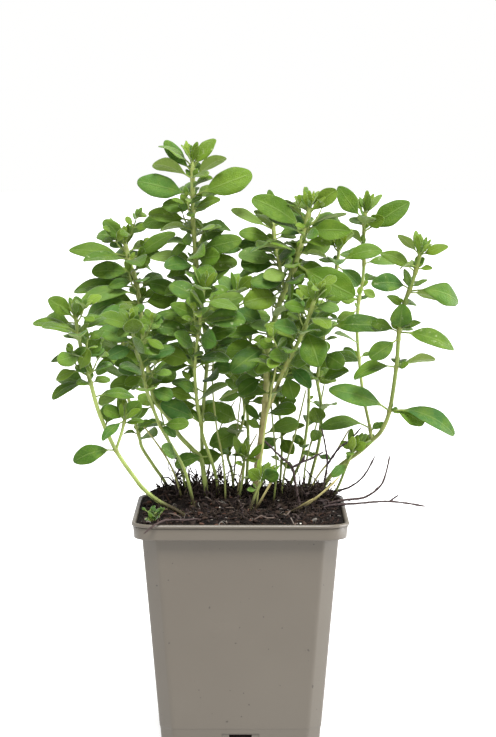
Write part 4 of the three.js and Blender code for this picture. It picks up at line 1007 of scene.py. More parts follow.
def pot_paint():
    """Warm grey-brown plastic, faintly clouded and smudged, with a few specks of soil."""
    p = Paint("pot_plastic")
    cloud = p.speckle(14.0, 3.0)
    smudge = p.speckle(60.0, 6.0, 0.65, 0.4)
    specks = p.band(p.speckle(360.0, 1.0), 0.762, 0.784)
    height = p.node("SeparateXYZ", {0: p.place()}).outputs[2]
    colour = p.layers(
        p.blend(p.band(cloud, 0.3, 0.7), (0.067, 0.0555, 0.0415), (0.073, 0.0615, 0.0465)),
        (p.band(smudge, 0.56, 0.8, 0.0, 0.35), (0.092, 0.079, 0.063)),
        # Painted shade: darker over the lowest 50 mm, towards the foot.
        (p.band(height, 0.0, 0.05, 0.25, 0.0), (0.062, 0.053, 0.042)),
        (p.times(specks, 0.9), (0.025, 0.018, 0.013)),
    )
    return p.finish(p.surface(colour, p.scaled(smudge, 0.22, 0.3), 0.5,
                              p.bump(p.speckle(1500.0, 2.0), 0.12, 0.0002)))


def soil_paint():
    p = Paint("soil_dark")
    coarse = p.speckle(160.0, 6.0, 0.7)
    fine = p.speckle(900.0, 4.0, 0.7)
    colour = p.layers(
        p.blend(p.band(coarse, 0.35, 0.7), (0.0015, 0.001, 0.0008), (0.010, 0.006, 0.0045)),
        (p.band(fine, 0.55, 0.75, 0.0, 0.6), (0.03, 0.017, 0.012)),
    )
    normal = p.bump(fine, 0.9, 0.0008, p.bump(coarse, 0.8, 0.002))
    return p.finish(p.surface(colour, 0.93, 0.12, normal))


def litter_paint():
    """Bark, fibres and perlite lying in the soil: by chance, how light and how red they are."""
    p = Paint("soil_litter")
    chance, light, red = p.split("tone")
    grain = p.speckle(1200.0, 4.0, 0.7)
    colour = p.layers(
        p.blend(chance, (0.0025, 0.0017, 0.0014), (0.03, 0.018, 0.013)),
        (red, (0.075, 0.034, 0.021)),
        (light, (0.42, 0.4, 0.36)),
        (p.band(grain, 0.45, 0.8, 0.0, 0.5),
         p.blend(light, (0.045, 0.03, 0.024), (0.3, 0.275, 0.24))),
    )
    return p.finish(p.surface(colour, 0.88, 0.15, p.bump(grain, 0.7, 0.0004)))


def floor_paint():
    p = Paint("studio_floor")
    colour = p.blend(p.speckle(3.0, 3.0), (0.48, 0.48, 0.477), (0.5, 0.5, 0.497))
    skin = p.node("BsdfPrincipled", {"Base Color": colour, "Roughness": 0.8})
    skin.inputs["Emission Color"].default_value = (1, 1, 0.995, 1)
    skin.inputs["Emission Strength"].default_value = 0.6
    return p.finish(skin)


# ---- leafy stems ----

LEAFY = (leaf_paint(), stalk_paint())
STALK = 1

# How thick the fine stalks are beside the part's at root and tip, and the stems that are thicker.
ROOT_THICKNESS, TIP_THICKNESS = 0.84, 1.12
THICKER = {"stem_mid_left": 1.22, "stem_trunk": 1.06}
# A stem is woody from this radius on, and wholly so at this much more.
WOODY_FROM, WOODY_RANGE = 1.3, 0.5
HAIRS_PER_MM = 5
HAIR_TONE = (0.9, 0.0, 0.0)
# Fill: how far apart its pairs are, how high they start, and the lengths of leaf that are tried.
FILL_STEP = 5.0
FILL_FROM = 145
FILL_LENGTHS = (20, 17, 14, 11.5, 9)
# How many places of the fill have a shoot, how many pairs of leaves close a stalk's tip, and how
# far a young leaf keeps off the soil.
SHOOT_SHARE = 0.3
TIP_PAIRS = 5
YOUNG_CLEAR = 0.8


def as_arrays(stalks):
    return [(stalk[0], np.array(stalk[1], float), *stalk[2:]) for stalk in stalks]


def stalk_tone(woody):
    """A stalk's marks at a point: paler on the left, straw-coloured low down where it is woody,
    and soiled at its foot."""

    def tone(centre):
        low = 1 - smoothstep(centre[2], 150, 215)
        soiled = 1 - smoothstep(centre[2], 119, 139)
        # Painted shade: the stems on the right are darker and those on the left paler.
        pale = 0.75 - 0.5 * smoothstep(centre[0], 40, 72) + 0.15 * math.sin(centre[0])
        return float(pale), float(woody * low), float(soiled)

    return tone


class Crowd:
    """The points of all that has been placed, for keeping new leaves clear of it."""

    def __init__(self, points):
        self.points = points

    def takes(self, samples, gap):
        if nearest(samples, self.points, gap) < gap:
            return False
        self.points = np.vstack([self.points, samples])
        return True


def scatter(rand, spread):
    return np.array([rand.uniform(-spread, spread) for _ in range(3)])


def shape_in(rand, faces, arches, widths):
    """A leaf's form: face, arch and width, each drawn from its range."""
    return tuple(rand.uniform(*limits) for limits in (faces, arches, widths))


def young_shape(rand):
    return shape_in(rand, (20, 80), (0.04, 0.16), (0.75, 1.05))


def add_young(skin, base, reach, shape, rand, crowd, youth, gap=1.0):
    """A leaf that the part leaves out, where there is room for it; a gap of 0 always has room."""
    leaf = leaf_frame(base, reach, shape)
    samples = leaf_samples(leaf)
    if min(z - soil_height(x, y) for x, y, z in samples) < YOUNG_CLEAR:
        return False
    if gap and not crowd.takes(samples[4:], gap):
        return False
    rows, around = (9, 12) if leaf.length > 8 else (7, 10)
    add_blade(skin, leaf, leaf_look(rand, youth, leaf.length), rows, around)
    return True


def axil_leaflets(skin, leaf, rand, crowd):
    """Young leaflets in the angle between a leaf and its stalk."""
    tangent = heading_at(leaf.route, leaf.place)
    for _ in range(rand.randint(0, 2)):
        aim = unit(leaf.along * rand.uniform(0.3, 0.9) + tangent * rand.uniform(0.5, 1.1)
                   + scatter(rand, 0.5))
        base = route_point(leaf.route, leaf.place) + aim * leaf.radius * 0.5
        add_young(skin, base, aim * rand.uniform(3, 7), young_shape(rand), rand, crowd, 0.6, 0.7)


def shoot_leaves(skin, shoot, reach, rand, crowd):
    """Crossed pairs of small leaves along a shoot; says whether any found room."""
    pairs = max(1, round(reach / 6))
    first = rand.uniform(0, math.pi)
    grown = 0
    for pair in range(pairs):
        at = 2 - (pairs - 1 - pair) * 2 / (pairs + 0.6) - 0.05
        along = heading_at(shoot, at)
        across, over = square_to(along, (0.3, 1, 0))
        for side in (0, 1):
            wide = spoke(first + (pair % 2) * math.pi / 2 + side * math.pi, across, over)
            aim = unit(wide * rand.uniform(0.75, 1) + along * rand.uniform(0.25, 0.7))
            length = rand.uniform(8, 13.5) * (1 - 0.12 * pair)
            youth = rand.uniform(0.25, 0.75)
            grown += add_young(skin, route_point(shoot, at), aim * length, young_shape(rand), rand,
                               crowd, youth)
    return grown > 0


def side_shoot(skin, route, place, out, reach, rand, crowd):
    """A short green shoot out of a leaf's angle, with a tuft of the youngest leaves at its end."""
    tangent = heading_at(route, place)
    base = route_point(route, place)
    lean = unit(out * 0.75 + tangent * 0.65 + scatter(rand, 0.25))
    rise = unit(lean * 0.6 + np.array((0, 0, 0.8)) + scatter(rand, 0.2))
    shoot = np.array([base, base + lean * reach * 0.45, base + lean * reach * 0.5
                      + rise * reach * 0.5])
    if not shoot_leaves(skin, shoot, reach, rand, crowd):
        return
    add_tube(skin, shoot, (0.5, 0.36), (rand.random(), 0.0, 0.0), around=8, step=2.2,
             end_taper=0.6, slot=STALK)
    for _ in range(4):
        aim = unit(heading_at(shoot, 2) + scatter(rand, 0.4))
        shape = shape_in(rand, (25, 75), (0.04, 0.12), (0.6, 0.9))
        add_young(skin, shoot[2] - aim * 0.4, aim * rand.uniform(4.5, 7.5), shape, rand, crowd,
                  0.85, 0)


def density(point):
    """How thick the foliage is at a point: thickest in the middle of the plant."""
    x, _, z = point
    middle = 1 - smoothstep(abs(x + 25), 50, 92)
    height = smoothstep(z, 166, 196) * (1 - smoothstep(z, 262, 305))
    return 0.12 + 0.88 * float(middle * height)


def fill_leaf(skin, route, place, angle, radius, rand, crowd):
    """One leaf of the fill, the longest that finds room."""
    here, tangent = route_point(route, place), heading_at(route, place)
    shape = shape_in(rand, (25, 70), (0.06, 0.2), (0.8, 1.08))
    youth = rand.uniform(0.0, 0.35)
    for length in FILL_LENGTHS:
        angle += rand.uniform(-0.6, 0.6)
        out = unit(np.array((math.cos(angle), math.sin(angle), rand.uniform(-0.2, 0.5))))
        aim = unit(out + tangent * rand.uniform(-0.1, 0.35))
        reach = aim * length * rand.uniform(0.9, 1.1)
        if add_young(skin, here + out * radius[1] * 0.5, reach, shape, rand, crowd, youth, 0.9):
            return


def fill_stalk(skin, route, radius, rand, crowd):
    """Leaves and shoots between those that the part holds, in opposite pairs."""
    last = len(route) - 1
    run = 0.0
    place = 0.0
    turn = rand.uniform(0, math.pi)
    while place < last - 0.1:
        place += 0.1
        run += float(np.linalg.norm(route_point(route, place) - route_point(route, place - 0.1)))
        here = route_point(route, place)
        if run < FILL_STEP or here[2] < FILL_FROM:
            continue
        run = 0.0
        turn += math.pi / 2 + rand.uniform(-0.4, 0.4)
        thick = density(here)
        for angle in (turn, turn + math.pi):
            if rand.random() > thick:
                continue
            if rand.random() < SHOOT_SHARE:
                out = np.array((math.cos(angle), math.sin(angle), rand.uniform(-0.15, 0.5)))
                side_shoot(skin, route, place, unit(out), rand.uniform(8, 18) * thick, rand, crowd)
            else:
                fill_leaf(skin, route, place, angle, radius, rand, crowd)


def tip_leaflets(skin, route, radius, rand, crowd):
    """The tight cluster of the youngest leaves at the end of a stalk."""
    tangent = unit(route[-1] - route[-2])
    across, over = square_to(tangent, (0, 1, 0))
    first = rand.uniform(0, math.pi)
    for pair in range(TIP_PAIRS):
        for side in (0, 1):
            out = spoke(first + pair * math.pi / 2 + side * math.pi, across, over)
            lean = rand.uniform(0.42, 0.72) - 0.13 * pair
            aim = unit(tangent * math.cos(lean) + out * math.sin(lean))
            length = (13.5 - 1.5 * pair) * rand.uniform(0.85, 1.15)
            base = route[-1] + tangent * (0.7 * pair - 2.6) + out * radius[1] * 0.4
            shape = shape_in(rand, (25, 75), (0.02, 0.12), (0.4, 0.58))
            add_young(skin, base, aim * length, shape, rand, crowd, rand.uniform(0.75, 1), 0)


def stem_leaf(skin, leaf, rand):
    """The fine skin of one of the part's own leaves: fresher high up and where it is small."""
    high = smoothstep(leaf.base[2], 190, 300)
    youth = min(1.0, 0.14 * high + 0.4 * smoothstep(15 - leaf.length, 0, 9)
                + rand.uniform(0, 0.22))
    rows, around = (17, 20) if leaf.length > 14 else (12, 16)
    add_blade(skin, leaf, leaf_look(rand, youth, leaf.length), rows, around)


def build_stem(name, seed, stalks, leaves, crowd):
    skin = Skin()
    rand = random.Random(seed)
    woody = min(1.0, max(0.0, (stalks[0][0][0] - WOODY_FROM) / WOODY_RANGE))
    swell = THICKER.get(name, 1)
    for radius, route, _ in stalks:
        knots = sorted({leaf.place for leaf in leaves if leaf.route is route})
        fine = (radius[0] * ROOT_THICKNESS * swell, radius[1] * TIP_THICKNESS * swell)
        add_tube(skin, route, fine, stalk_tone(woody), around=12, step=1.6, slot=STALK,
                 swellings=knots, square=0.05)
        add_hairs(skin, route, fine, HAIRS_PER_MM, HAIR_TONE, rand)
        tip_leaflets(skin, route, radius, rand, crowd)
    for leaf in leaves:
        stem_leaf(skin, leaf, rand)
        axil_leaflets(skin, leaf, rand, crowd)
    for radius, route, _ in stalks:
        fill_stalk(skin, route, radius, rand, crowd)
    skin.piece(name + "_fine", LEAFY, (name,))


def build_stems():
    stems = [(name, seed, as_arrays(stalks)) for name, seed, stalks in STEMS]
    lines = [(name, stalk_samples(stalk[1])) for name, _, stalks in stems for stalk in stalks]
    lines += [(name, stalk_samples(stalk[1]))
              for name, stalks in TWIGS for stalk in as_arrays(stalks)]
    leaves, placed = grow_leaves(stems, lines)
    crowd = Crowd(np.vstack([placed] + [points for _, points in lines]))
    for name, seed, stalks in stems:
        build_stem(name, seed, stalks, [leaf for leaf in leaves if leaf.stem == name], crowd)


# ---- dead twigs ----

DEAD = (twig_paint(),)


def build_twigs():
    for name, stalks in TWIGS:
        skin = Skin()
        rand = random.Random(name)
        for radius, route in as_arrays(stalks):
            knots = [rand.uniform(0.5, len(route) - 1) for _ in range(3)]
            tone = (rand.random(), 0.0, 0.0)
            add_tube(skin, route, radius, tone, around=10, step=0.9, end_taper=2.0,
                     swellings=knots, rough=0.5)
        skin.piece(name + "_fine", DEAD, (name,))


# ---- soil ----

# Cells along each side of the soil's surface, and how many loose bits lie on it.
SOIL_CELLS = 132
CRUMBS = 1500
GRAINS = 9
FIBRES = 200
ROOTS = 16
# Loose bits lie within this distance of the middle, and fibres turn back at this one.
LITTER_REACH = 51.5
FIBRE_REACH = 51
LITTER_CORNER = 10


def inner_edge(x, y, half, corner):
    """The factor that moves a point of a square's edge in onto the rounded square's edge."""
    ax, ay, straight = abs(x), abs(y), half - corner
    if min(ax, ay) <= straight:
        return 1.0
    # The line from the middle through the point meets the corner's circle at the larger root.
    a, b = ax * ax + ay * ay, -2 * straight * (ax + ay)
    c = 2 * straight * straight - corner * corner
    return (-b + math.sqrt(b * b - 4 * a * c)) / (2 * a)


def fine_soil_height(x, y):
    coarse = noise.fractal(Vector((x * 0.16, y * 0.16, 3.1)), 0.9, 2.1, 5)
    crumbs = noise.noise(Vector((x * 0.8, y * 0.8, 8.7)))
    edge = 1 - smoothstep(max(abs(x), abs(y)), 48, 53.2)
    return float(soil_height(x, y)) + (2.0 * coarse + 0.8 * crumbs) * (0.25 + 0.75 * edge) - 0.3


def soil_surface():
    """The points and faces of the soil's surface, and its rim in order."""
    count, row = SOIL_CELLS, SOIL_CELLS + 1
    grid = 2 * np.arange(row) / count - 1
    points = []
    for b in grid:
        for a in grid:
            m = max(abs(a), abs(b), 1e-9)
            pull = inner_edge(SOIL_HALF * a / m, SOIL_HALF * b / m, SOIL_HALF, SOIL_CORNER)
            x, y = SOIL_HALF * a * pull, SOIL_HALF * b * pull
            points.append((x, y, fine_soil_height(x, y)))
    faces = [(j * row + i, j * row + i + 1, (j + 1) * row + i + 1, (j + 1) * row + i)
             for j in range(count) for i in range(count)]
    rim = [i for i in range(count)] + [j * row + count for j in range(count)]
    rim += [count * row + i for i in range(count, 0, -1)] + [j * row for j in range(count, 0, -1)]
    return points, faces, rim


def build_soil():
    """The surface and, below it, the plain block that fills the pot."""
    points, faces, rim = soil_surface()
    ledge = POT_HEIGHT - RIM_BAND + WALL + GAP
    # Height, half width, corner, and whether the corner is round, for each lower loop.
    levels = [(ledge, SOIL_HALF, SOIL_CORNER, True),
              (ledge, BODY_TOP_HALF - WALL - GAP, CHAMFER_TOP, False),
              (FLOOR + GAP, BODY_BASE_HALF - WALL - FOOT_INSET - GAP, CHAMFER_BASE, False)]
    loops = [rim]
    for z, side, cut, rounded in levels:
        loop = []
        for i in rim:
            x, y, _ = points[i]
            m = max(abs(x), abs(y))
            x, y = x / m * side, y / m * side
            if rounded:
                pull = inner_edge(x, y, side, cut)
            else:
                pull = min(1.0, (2 * side - cut) / (abs(x) + abs(y)))
            loop.append(len(points))
            points.append((x * pull, y * pull, z))
        loops.append(loop)
    for upper, lower in zip(loops, loops[1:]):
        for k in range(len(rim)):
            n = (k + 1) % len(rim)
            faces.append((upper[k], lower[k], lower[n], upper[n]))
    faces.append(tuple(reversed(loops[-1])))
    skin = Skin()
    skin.add(points, faces)
    skin.piece("soil_fine", (soil_paint(),), ("soil",))


def soil_spot(rand, margin=1.5):
    """A random place on the soil, inside its rounded corners."""
    flat = SOIL_HALF - SOIL_CORNER
    while True:
        x, y = (rand.uniform(-LITTER_REACH, LITTER_REACH) for _ in range(2))
        if math.hypot(max(0, abs(x) - flat), max(0, abs(y) - flat)) < LITTER_CORNER - margin:
            return x, y


def add_lump(skin, rand, centre, size, flat, tone, around=6, rows=4):
    """A small irregular solid, such as a bark chip or a grain."""
    axis = unit(np.array([rand.gauss(0, 1), rand.gauss(0, 1), rand.gauss(0, 0.35)]))
    side = unit(np.cross(axis, (0.1, 0.2, 1)))
    up = np.cross(axis, side)
    points = []
    for r in range(rows):
        t = (r + 0.5) / rows
        wide = math.sin(math.pi * t) ** 0.5
        for k in range(around):
            angle = 2 * math.pi * (k + 0.5 * (r % 2)) / around
            jitter = rand.uniform(0.72, 1.12) * wide
            points.append(centre + axis * (2 * t - 1) * size
                          + side * math.cos(angle) * jitter * size * flat[0]
                          + up * math.sin(angle) * jitter * size * flat[1])
    skin.add(points, ring_faces(rows, around), tone)


def build_crumbs(rand, paint):
    chips = Skin()
    for _ in range(CRUMBS):
        x, y = soil_spot(rand)
        size = rand.uniform(0.4, 1.0) if rand.random() < 0.75 else rand.uniform(1.0, 2.6)
        centre = np.array((x, y, fine_soil_height(x, y) + 0.25 * size))
        flat = (rand.uniform(0.35, 0.8), rand.uniform(0.2, 0.55))
        pale = 1.0 if rand.random() < 0.02 else 0.0
        add_lump(chips, rand, centre, size, flat,
                 (rand.random(), 0.25 * pale, 0.6 * (rand.random() < 0.08)))
    chips.piece("soil_crumbs", paint)


def build_perlite(rand, paint):
    grains = Skin()
    for _ in range(GRAINS):
        x, y = soil_spot(rand)
        size = rand.uniform(0.35, 0.8)
        centre = np.array((x, y, fine_soil_height(x, y) + 0.45 * size))
        add_lump(grains, rand, centre, size, (0.85, 0.75), (0.5, 1.0, 0.0), around=9, rows=7)
    grains.piece("perlite_grains", paint)


def fibre_route(rand, x, y, root):
    """A wandering line along the soil, which some fibres leave in a low arch."""
    heading = rand.uniform(0, 2 * math.pi)
    step = rand.uniform(2.2, 4.0) if root else rand.uniform(0.8, 2.4)
    lift = rand.uniform(0.0, 1.8) * (rand.random() < 0.35)
    route = []
    for k in range(7):
        inside = max(abs(x), abs(y)) < FIBRE_REACH
        z = fine_soil_height(x, y) + 0.15 + lift * math.sin(math.pi * k / 6)
        route.append((x, y, z))
        heading += rand.uniform(-0.5, 0.5)
        if inside:
            x, y = x + step * math.cos(heading), y + step * math.sin(heading)
        else:
            x, y = x * 0.985, y * 0.985
            heading += 0.5
    return np.array(route)


def build_fibres(rand, paint):
    fibres = Skin()
    for count in range(FIBRES):
        x, y = soil_spot(rand, 2.5)
        root = count < ROOTS
        route = fibre_route(rand, x, y, root)
        thick = rand.uniform(0.35, 0.6) if root else rand.uniform(0.1, 0.26)
        red = 0.6 if root or rand.random() < 0.3 else 0.0
        pale = rand.uniform(0.15, 0.4) if rand.random() < 0.22 else 0.12 * root
        tone = (rand.random(), pale, red * rand.uniform(0.4, 1.0))
        add_tube(fibres, route, (thick, thick * 0.6), tone, around=6, step=1.2, end_taper=0.8)
    fibres.piece("soil_fibres", paint)


def build_litter():
    rand = random.Random(7)
    paint = (litter_paint(),)
    build_crumbs(rand, paint)
    build_perlite(rand, paint)
    build_fibres(rand, paint)


# ---- stubs, straws and the weed ----

# Patches of dead stubs and roots standing in the soil: x, y, spread, height and how many.
STUB_PATCHES = [
    (-25, 27, 7, 29, 80), (-13, 22, 6, 30, 80), (-35, 30, 6, 16, 24), (30, 8, 9, 22, 60),
    (39, 14, 7, 28, 70), (17, 2, 9, 9, 26), (0, 26, 11, 20, 50), (46, 18, 6, 20, 34),
    (-40, 2, 7, 7, 14), (22, 30, 11, 18, 44), (-16, -18, 13, 7, 60), (6, -24, 15, 8, 60),
    (32, -14, 13, 8, 50), (-2, -4, 14, 7, 34),
]
STUB_REACH = 48

# Straw-thin stalks: radius at root and tip, how dry, and the route.
STRAWS = [
    (0.6, 0.4, 0.2, [(-8, 16, 117), (-9, 15, 140), (-13, 13, 163), (-15, 12, 186), (-14, 12, 205)]),
    (0.55, 0.4, 0.0, [(-27, 27, 117), (-33, 24, 140), (-40, 23, 158), (-45, 24, 178)]),
    (0.6, 0.4, 0.5, [(-30, 22, 117), (-37, 20, 139), (-49, 18, 158), (-60, 17, 170)]),
    (0.6, 0.45, 0.3, [(8, -4, 117), (10, -6, 139), (13, -8, 165), (17, -10, 188), (20, -11, 204)]),
    (0.7, 0.5, 0.9, [(6, -6, 117), (12, -9, 128), (18, -10, 139)]),
    (0.55, 0.4, 0.1, [(17, 8, 117), (19, 8, 140), (17, 10, 165), (15, 12, 190), (16, 14, 212)]),
    (0.6, 0.4, 0.2, [(21, 20, 117), (24, 21, 139), (30, 22, 160), (35, 23, 181)]),
    (0.5, 0.35, 0.8, [(-2, 22, 117), (-1, 21, 130), (3, 20, 146), (9, 19, 158)]),
    (0.6, 0.4, 0.6, [(34, 22, 117), (40, 22, 132), (50, 20, 146), (58, 18, 160)]),
    (0.55, 0.4, 0.1, [(33, 26, 117), (35, 27, 140), (41, 27, 163), (45, 27, 184)]),
    (0.7, 0.45, 0.9, [(24, -8, 117), (34, -11, 123), (45, -12, 132), (52, -12, 139)]),
    (0.6, 0.4, 0.9, [(18, -14, 117), (28, -17, 122), (38, -18, 128)]),
    (0.5, 0.35, 0.4, [(-18, 30, 117), (-17, 29, 139), (-11, 26, 160), (-3, 24, 175)]),
    (0.5, 0.35, 0.3, [(-5, 30, 117), (-3, 30, 141), (-1, 29, 168), (3, 27, 195)]),
    (0.6, 0.5, 0.9, [(-44, -20, 117), (-42, -24, 122), (-38, -28, 124)]),
]
STRAW_KNOTS = (1.5, 2.4)

# The small weed in the front left corner: its foot, its leaves, and how green they are drawn.
SPRIG_FOOT = (-45, -36, 119.5)
SPRIG_LEAVES = 20
SPRIG_CHANCE = 0.07


def stub_route(rand, point, heading, height):
    """A crooked line that climbs from a point and never dips into the soil."""
    route = [point]
    for _ in range(6):
        heading = unit(heading + np.array([rand.gauss(0, 0.6) for _ in range(3)])
                       + np.array((0, 0, 0.12)))
        point = point + heading * (height * 1.25 + 3) / 6
        point[2] = max(point[2], float(soil_height(point[0], point[1])))
        route.append(point)
    return route


def build_stubs(rand):
    stubs = Skin()
    for x0, y0, spread, tall, count in STUB_PATCHES:
        for _ in range(count):
            x, y = x0 + rand.gauss(0, spread * 0.5), y0 + rand.gauss(0, spread * 0.5)
            if max(abs(x), abs(y)) > STUB_REACH:
                continue
            away = ((x - x0) ** 2 + (y - y0) ** 2) / spread**2
            height = tall * rand.uniform(0.15, 1) * math.exp(-away / 1.4)
            thick = rand.uniform(0.2, 0.42)
            if rand.random() < 0.35:
                thick, height = rand.uniform(0.45, 0.95), height * 0.6
            tone = (rand.random(), rand.choice((0.4, 1.0, 1.0)), 0.0)
            foot = np.array((x, y, float(soil_height(x, y)) - 1.5))
            heading = unit(np.array((rand.gauss(0, 0.8), rand.gauss(0, 0.5), 1.0)))
            route = stub_route(rand, foot, heading, height)
            add_tube(stubs, np.array(route), (thick, thick * 0.5), tone, around=6, step=1.6,
                     end_taper=0.6, rough=0.5)
            if rand.random() < 0.55:
                at = route[rand.randint(2, 5)]
                add_lump(stubs, rand, at, rand.uniform(0.7, 1.9), (0.6, 0.45), tone)
    stubs.piece("dead_stubs", DEAD)


def build_straws(rand):
    straws = Skin()
    for first, last, dry, route in STRAWS:

        def tone(centre, dry=dry, chance=rand.random()):
            return chance, dry, float(1 - smoothstep(centre[2], 119, 134))

        add_tube(straws, np.array(route, float), (first, last), tone, around=8, step=2.0,
                 end_taper=0.5, swellings=STRAW_KNOTS)
    straws.piece("straw_stalks", LEAFY[STALK:])


def build_sprig(rand):
    sprig = Skin()
    foot = np.array(SPRIG_FOOT, float)
    for _ in range(SPRIG_LEAVES):
        aim = unit(np.array((rand.gauss(0, 0.7), rand.gauss(0, 0.7), rand.uniform(0.3, 1.1))))
        base = foot + np.array((rand.gauss(0, 2.6), rand.gauss(0, 2.0), rand.uniform(-1, 5.5)))
        leaf = leaf_frame(base, aim * rand.uniform(2.6, 5.0), young_shape(rand))
        look = leaf_look(rand, 0, leaf.length)
        look.chance *= SPRIG_CHANCE
        add_blade(sprig, leaf, look, rows=6, around=8)
        stalk = np.array([foot - (0, 0, 2), (foot + base) / 2 + scatter(rand, 0.6), base])
        add_tube(sprig, stalk, (0.3, 0.2), (rand.random(), 0.0, 0.3), around=6, step=1.5,
                 end_taper=0.4, slot=STALK)
    sprig.piece("weed_sprig", LEAFY)


# ---- pot ----

CORNER_STEPS = 6
LEDGE = POT_HEIGHT - RIM_BAND
RIM_INSIDE = 2.6
# The body's rings at its foot, and under the rim: height and how far inside the plain taper.
FOOT_RINGS = [
    (0, FOOT_INSET + 3), (0, FOOT_INSET + 0.8), (0.25, FOOT_INSET + 0.22), (0.8, FOOT_INSET),
    (1.1, FOOT_INSET), (FOOT_HEIGHT - 0.5, FOOT_INSET), (FOOT_HEIGHT - 0.1, FOOT_INSET - 0.05),
    (FOOT_HEIGHT + 0.25, 0.1), (FOOT_HEIGHT + 0.6, 0), (FOOT_HEIGHT + 1.2, 0),
]
BODY_RINGS = [(z, 0) for z in (30, 55, 80, 105, LEDGE - 0.9, LEDGE - 0.6)]
NECK_RINGS = [(LEDGE - 0.2, -0.12), (LEDGE, -0.6)]
# The rim's rings, from its underside up the outside, over the lip and down the inside: height
# over the ledge, and how far inside its widest.
RIM_RINGS = [
    (0, 2.05), (0.12, 1.55), (0.45, 1.28), (0.8, 1.25), (5.9, 0.74), (6.1, 0.8), (6.22, 1.05),
    (6.38, 1.08), (6.5, 0.85), (6.56, 0.25), (6.75, 0.02), (7.2, 0), (7.65, 0.05), (8.0, 0.28),
    (8.22, 0.62), (8.3, 0.95), (8.25, 1.5), (8.0, 2.0), (7.6, 2.25), (7.0, RIM_WALL),
    (WALL + 0.3, RIM_WALL), (WALL, RIM_INSIDE),
]
# The inside of the body, down to the floor.
INNER_RINGS = [(LEDGE + WALL, WALL - 0.3), (LEDGE + WALL - 0.4, WALL),
               (FLOOR + 1, WALL + FOOT_INSET), (FLOOR, WALL + FOOT_INSET + 1)]
BOX_FACES = [(3, 2, 1, 0), (4, 5, 6, 7), (0, 1, 5, 4), (1, 2, 6, 5), (2, 3, 7, 6), (3, 0, 4, 7)]


def corner_path(half, cut, rounded):
    """One corner of a level ring, from the side at x = half to the side at y = half."""
    if rounded:
        steps = 2 * CORNER_STEPS
        angles = [math.pi / 2 * k / steps for k in range(steps + 1)]
        return [(half - cut + cut * math.cos(a), half - cut + cut * math.sin(a)) for a in angles]
    soft = min(1.5, cut * 0.4)
    slope = soft / math.sqrt(2)
    near = [(half, half - cut - soft), (half, half - cut), (half - slope, half - cut + slope)]
    path = []
    for k in range(CORNER_STEPS):
        t = k / (CORNER_STEPS - 1)
        weights = ((1 - t) ** 2, 2 * t * (1 - t), t * t)
        path.append(tuple(sum(w * p[i] for w, p in zip(weights, near)) for i in (0, 1)))
    middle = (half - cut / 2, half - cut / 2)
    return path + [middle] + [(y, x) for x, y in reversed(path)]


def pot_ring(half, cut, rounded, z):
    corner = corner_path(half, cut, rounded)
    x0, x1 = corner[-1][0], -corner[0][1]
    side = [(x0 + (x1 - x0) * t, half) for t in (0.012, 0.25, 0.5, 0.75, 0.988)]
    ring = []
    for turn in range(4):
        c, s = (1, 0, -1, 0)[turn], (0, 1, 0, -1)[turn]
        ring += [(x * c - y * s, x * s + y * c, z) for x, y in corner + side]
    return ring


def body_ring(z, inset):
    share = z / LEDGE
    half = BODY_BASE_HALF + (BODY_TOP_HALF - BODY_BASE_HALF) * share - inset
    cut = CHAMFER_BASE + (CHAMFER_TOP - CHAMFER_BASE) * share - inset * (2 - math.sqrt(2))
    return pot_ring(half, cut, False, z)


def rim_ring(z, inset):
    return pot_ring(RIM_HALF - inset, RIM_CORNER - inset, True, LEDGE + z)


def foot_cutter(width, end, height, turn):
    """A box into the foot of one of the four sides, from outside as far in as end."""
    mesh = bpy.data.meshes.new("cutter")
    x, y0, y1 = width / 2, -BODY_BASE_HALF - 6, -end
    corners = [(sx * x, y, z) for z in (FLOOR - 1, FLOOR - 1 + height) for sx, y in
               ((-1, y0), (1, y0), (1, y1), (-1, y1))]
    mesh.from_pydata([tuple(MM * v for v in p) for p in corners], [], BOX_FACES)
    made = link("cutter", mesh)
    made.rotation_euler = (0, 0, turn * math.pi / 2)
    return made


def cut_slots(pot):
    """Cuts the recess and the slot out of each side's foot, and leaves a plain mesh."""
    cutters = []
    for turn in range(4):
        cutters.append(foot_cutter(SLOT_WIDTH + 2 * RECESS_BESIDE, RECESS_FACE,
                                   SLOT_HEIGHT + RECESS_ABOVE, turn))
        cutters.append(foot_cutter(SLOT_WIDTH, SLOT_END, SLOT_HEIGHT, turn))
    for cutter in cutters:
        cut = pot.modifiers.new("cut", "BOOLEAN")
        cut.object, cut.operation, cut.solver = cutter, "DIFFERENCE", "EXACT"
    bpy.context.view_layer.update()
    shaped = pot.evaluated_get(bpy.context.evaluated_depsgraph_get())
    pot.data = bpy.data.meshes.new_from_object(shaped)
    pot.modifiers.clear()
    for cutter in cutters:
        bpy.data.objects.remove(cutter)


def build_pot():
    rings = [body_ring(z, inset) for z, inset in FOOT_RINGS + BODY_RINGS + NECK_RINGS]
    rings += [rim_ring(z, inset) for z, inset in RIM_RINGS]
    rings += [body_ring(z, inset) for z, inset in INNER_RINGS]
    skin = Skin()
    skin.add([p for ring in rings for p in ring], ring_faces(len(rings), len(rings[0])))
    pot = skin.piece("pot_fine", (pot_paint(),), ("pot",))
    cut_slots(pot)
    pot.data.polygons.foreach_set("use_smooth", [True] * len(pot.data.polygons))
    pot.data.set_sharp_from_angle(angle=math.radians(38))


# ---- stage, in metres ----

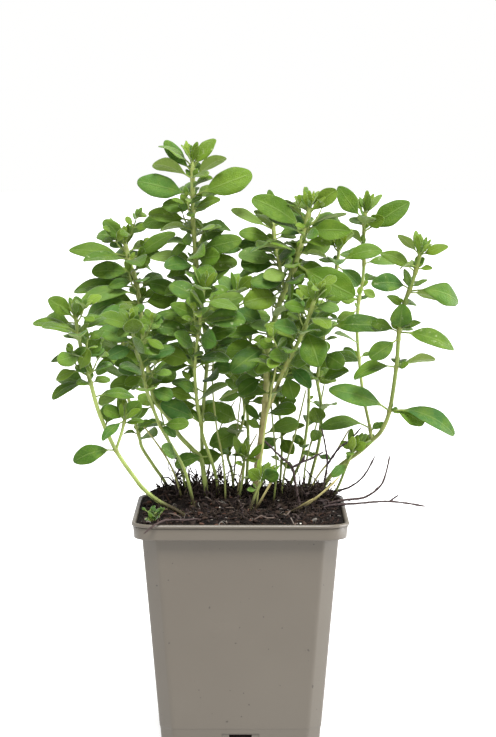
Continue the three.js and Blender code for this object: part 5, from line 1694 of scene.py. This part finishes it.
FLOOR_REACH = 9.0
KEY_TOWARDS, KEY_STRENGTH, KEY_ANGLE = (0.1, -0.55, 1.0), 6.9, 24
SIDE_PLACE, SIDE_SIZE, SIDE_POWER = (1.35, 0.15, 0.45), (0.8, 1.1), 30
PLANT_MIDDLE = (0, 0, 0.17)
CAMERA_PLACE, CAMERA_TILT = (0.0039, -1.358, 0.330), 5.7
LENS, SENSOR = 126.66, 36


def build_stage():
    mesh = bpy.data.meshes.new("floor")
    corners = [(x * FLOOR_REACH, y * FLOOR_REACH, 0)
               for x, y in ((-1, -1), (1, -1), (1, 1), (-1, 1))]
    mesh.from_pydata(corners, [], [(0, 1, 2, 3)])
    mesh.materials.append(floor_paint())
    floor = link("floor", mesh)


def build_light():
    world = bpy.data.worlds.new("studio")
    world.use_nodes = True
    back = world.node_tree.nodes["Background"]
    back.inputs["Color"].default_value = (1.0, 1.0, 0.995, 1)
    back.inputs["Strength"].default_value = 1.0
    bpy.context.scene.world = world
    sun = bpy.data.lights.new("key", "SUN")
    sun.energy, sun.angle = KEY_STRENGTH, math.radians(KEY_ANGLE)
    link("key", sun).rotation_euler = Vector(KEY_TOWARDS).to_track_quat("Z", "Y").to_euler()
    lamp = bpy.data.lights.new("right", "AREA")
    lamp.shape, lamp.size, lamp.size_y = "RECTANGLE", *SIDE_SIZE
    lamp.energy = SIDE_POWER
    side = link("right", lamp)
    side.location = SIDE_PLACE
    towards = Vector(PLANT_MIDDLE) - Vector(SIDE_PLACE)
    side.rotation_euler = towards.to_track_quat("-Z", "Y").to_euler()
    bpy.context.scene.view_settings.view_transform = "Standard"


def build_camera():
    lens = bpy.data.cameras.new("camera")
    lens.lens, lens.sensor_width, lens.clip_start = LENS, SENSOR, 0.05
    camera = link("camera", lens)
    camera.location = CAMERA_PLACE
    camera.rotation_euler = (math.radians(90 - CAMERA_TILT), 0, 0)
    bpy.context.scene.camera = camera


build_camera()
build_stage()
build_light()
build_pot()
build_soil()
build_litter()
build_stems()
build_twigs()
standing = random.Random(31)
build_stubs(standing)
build_straws(standing)
build_sprig(standing)
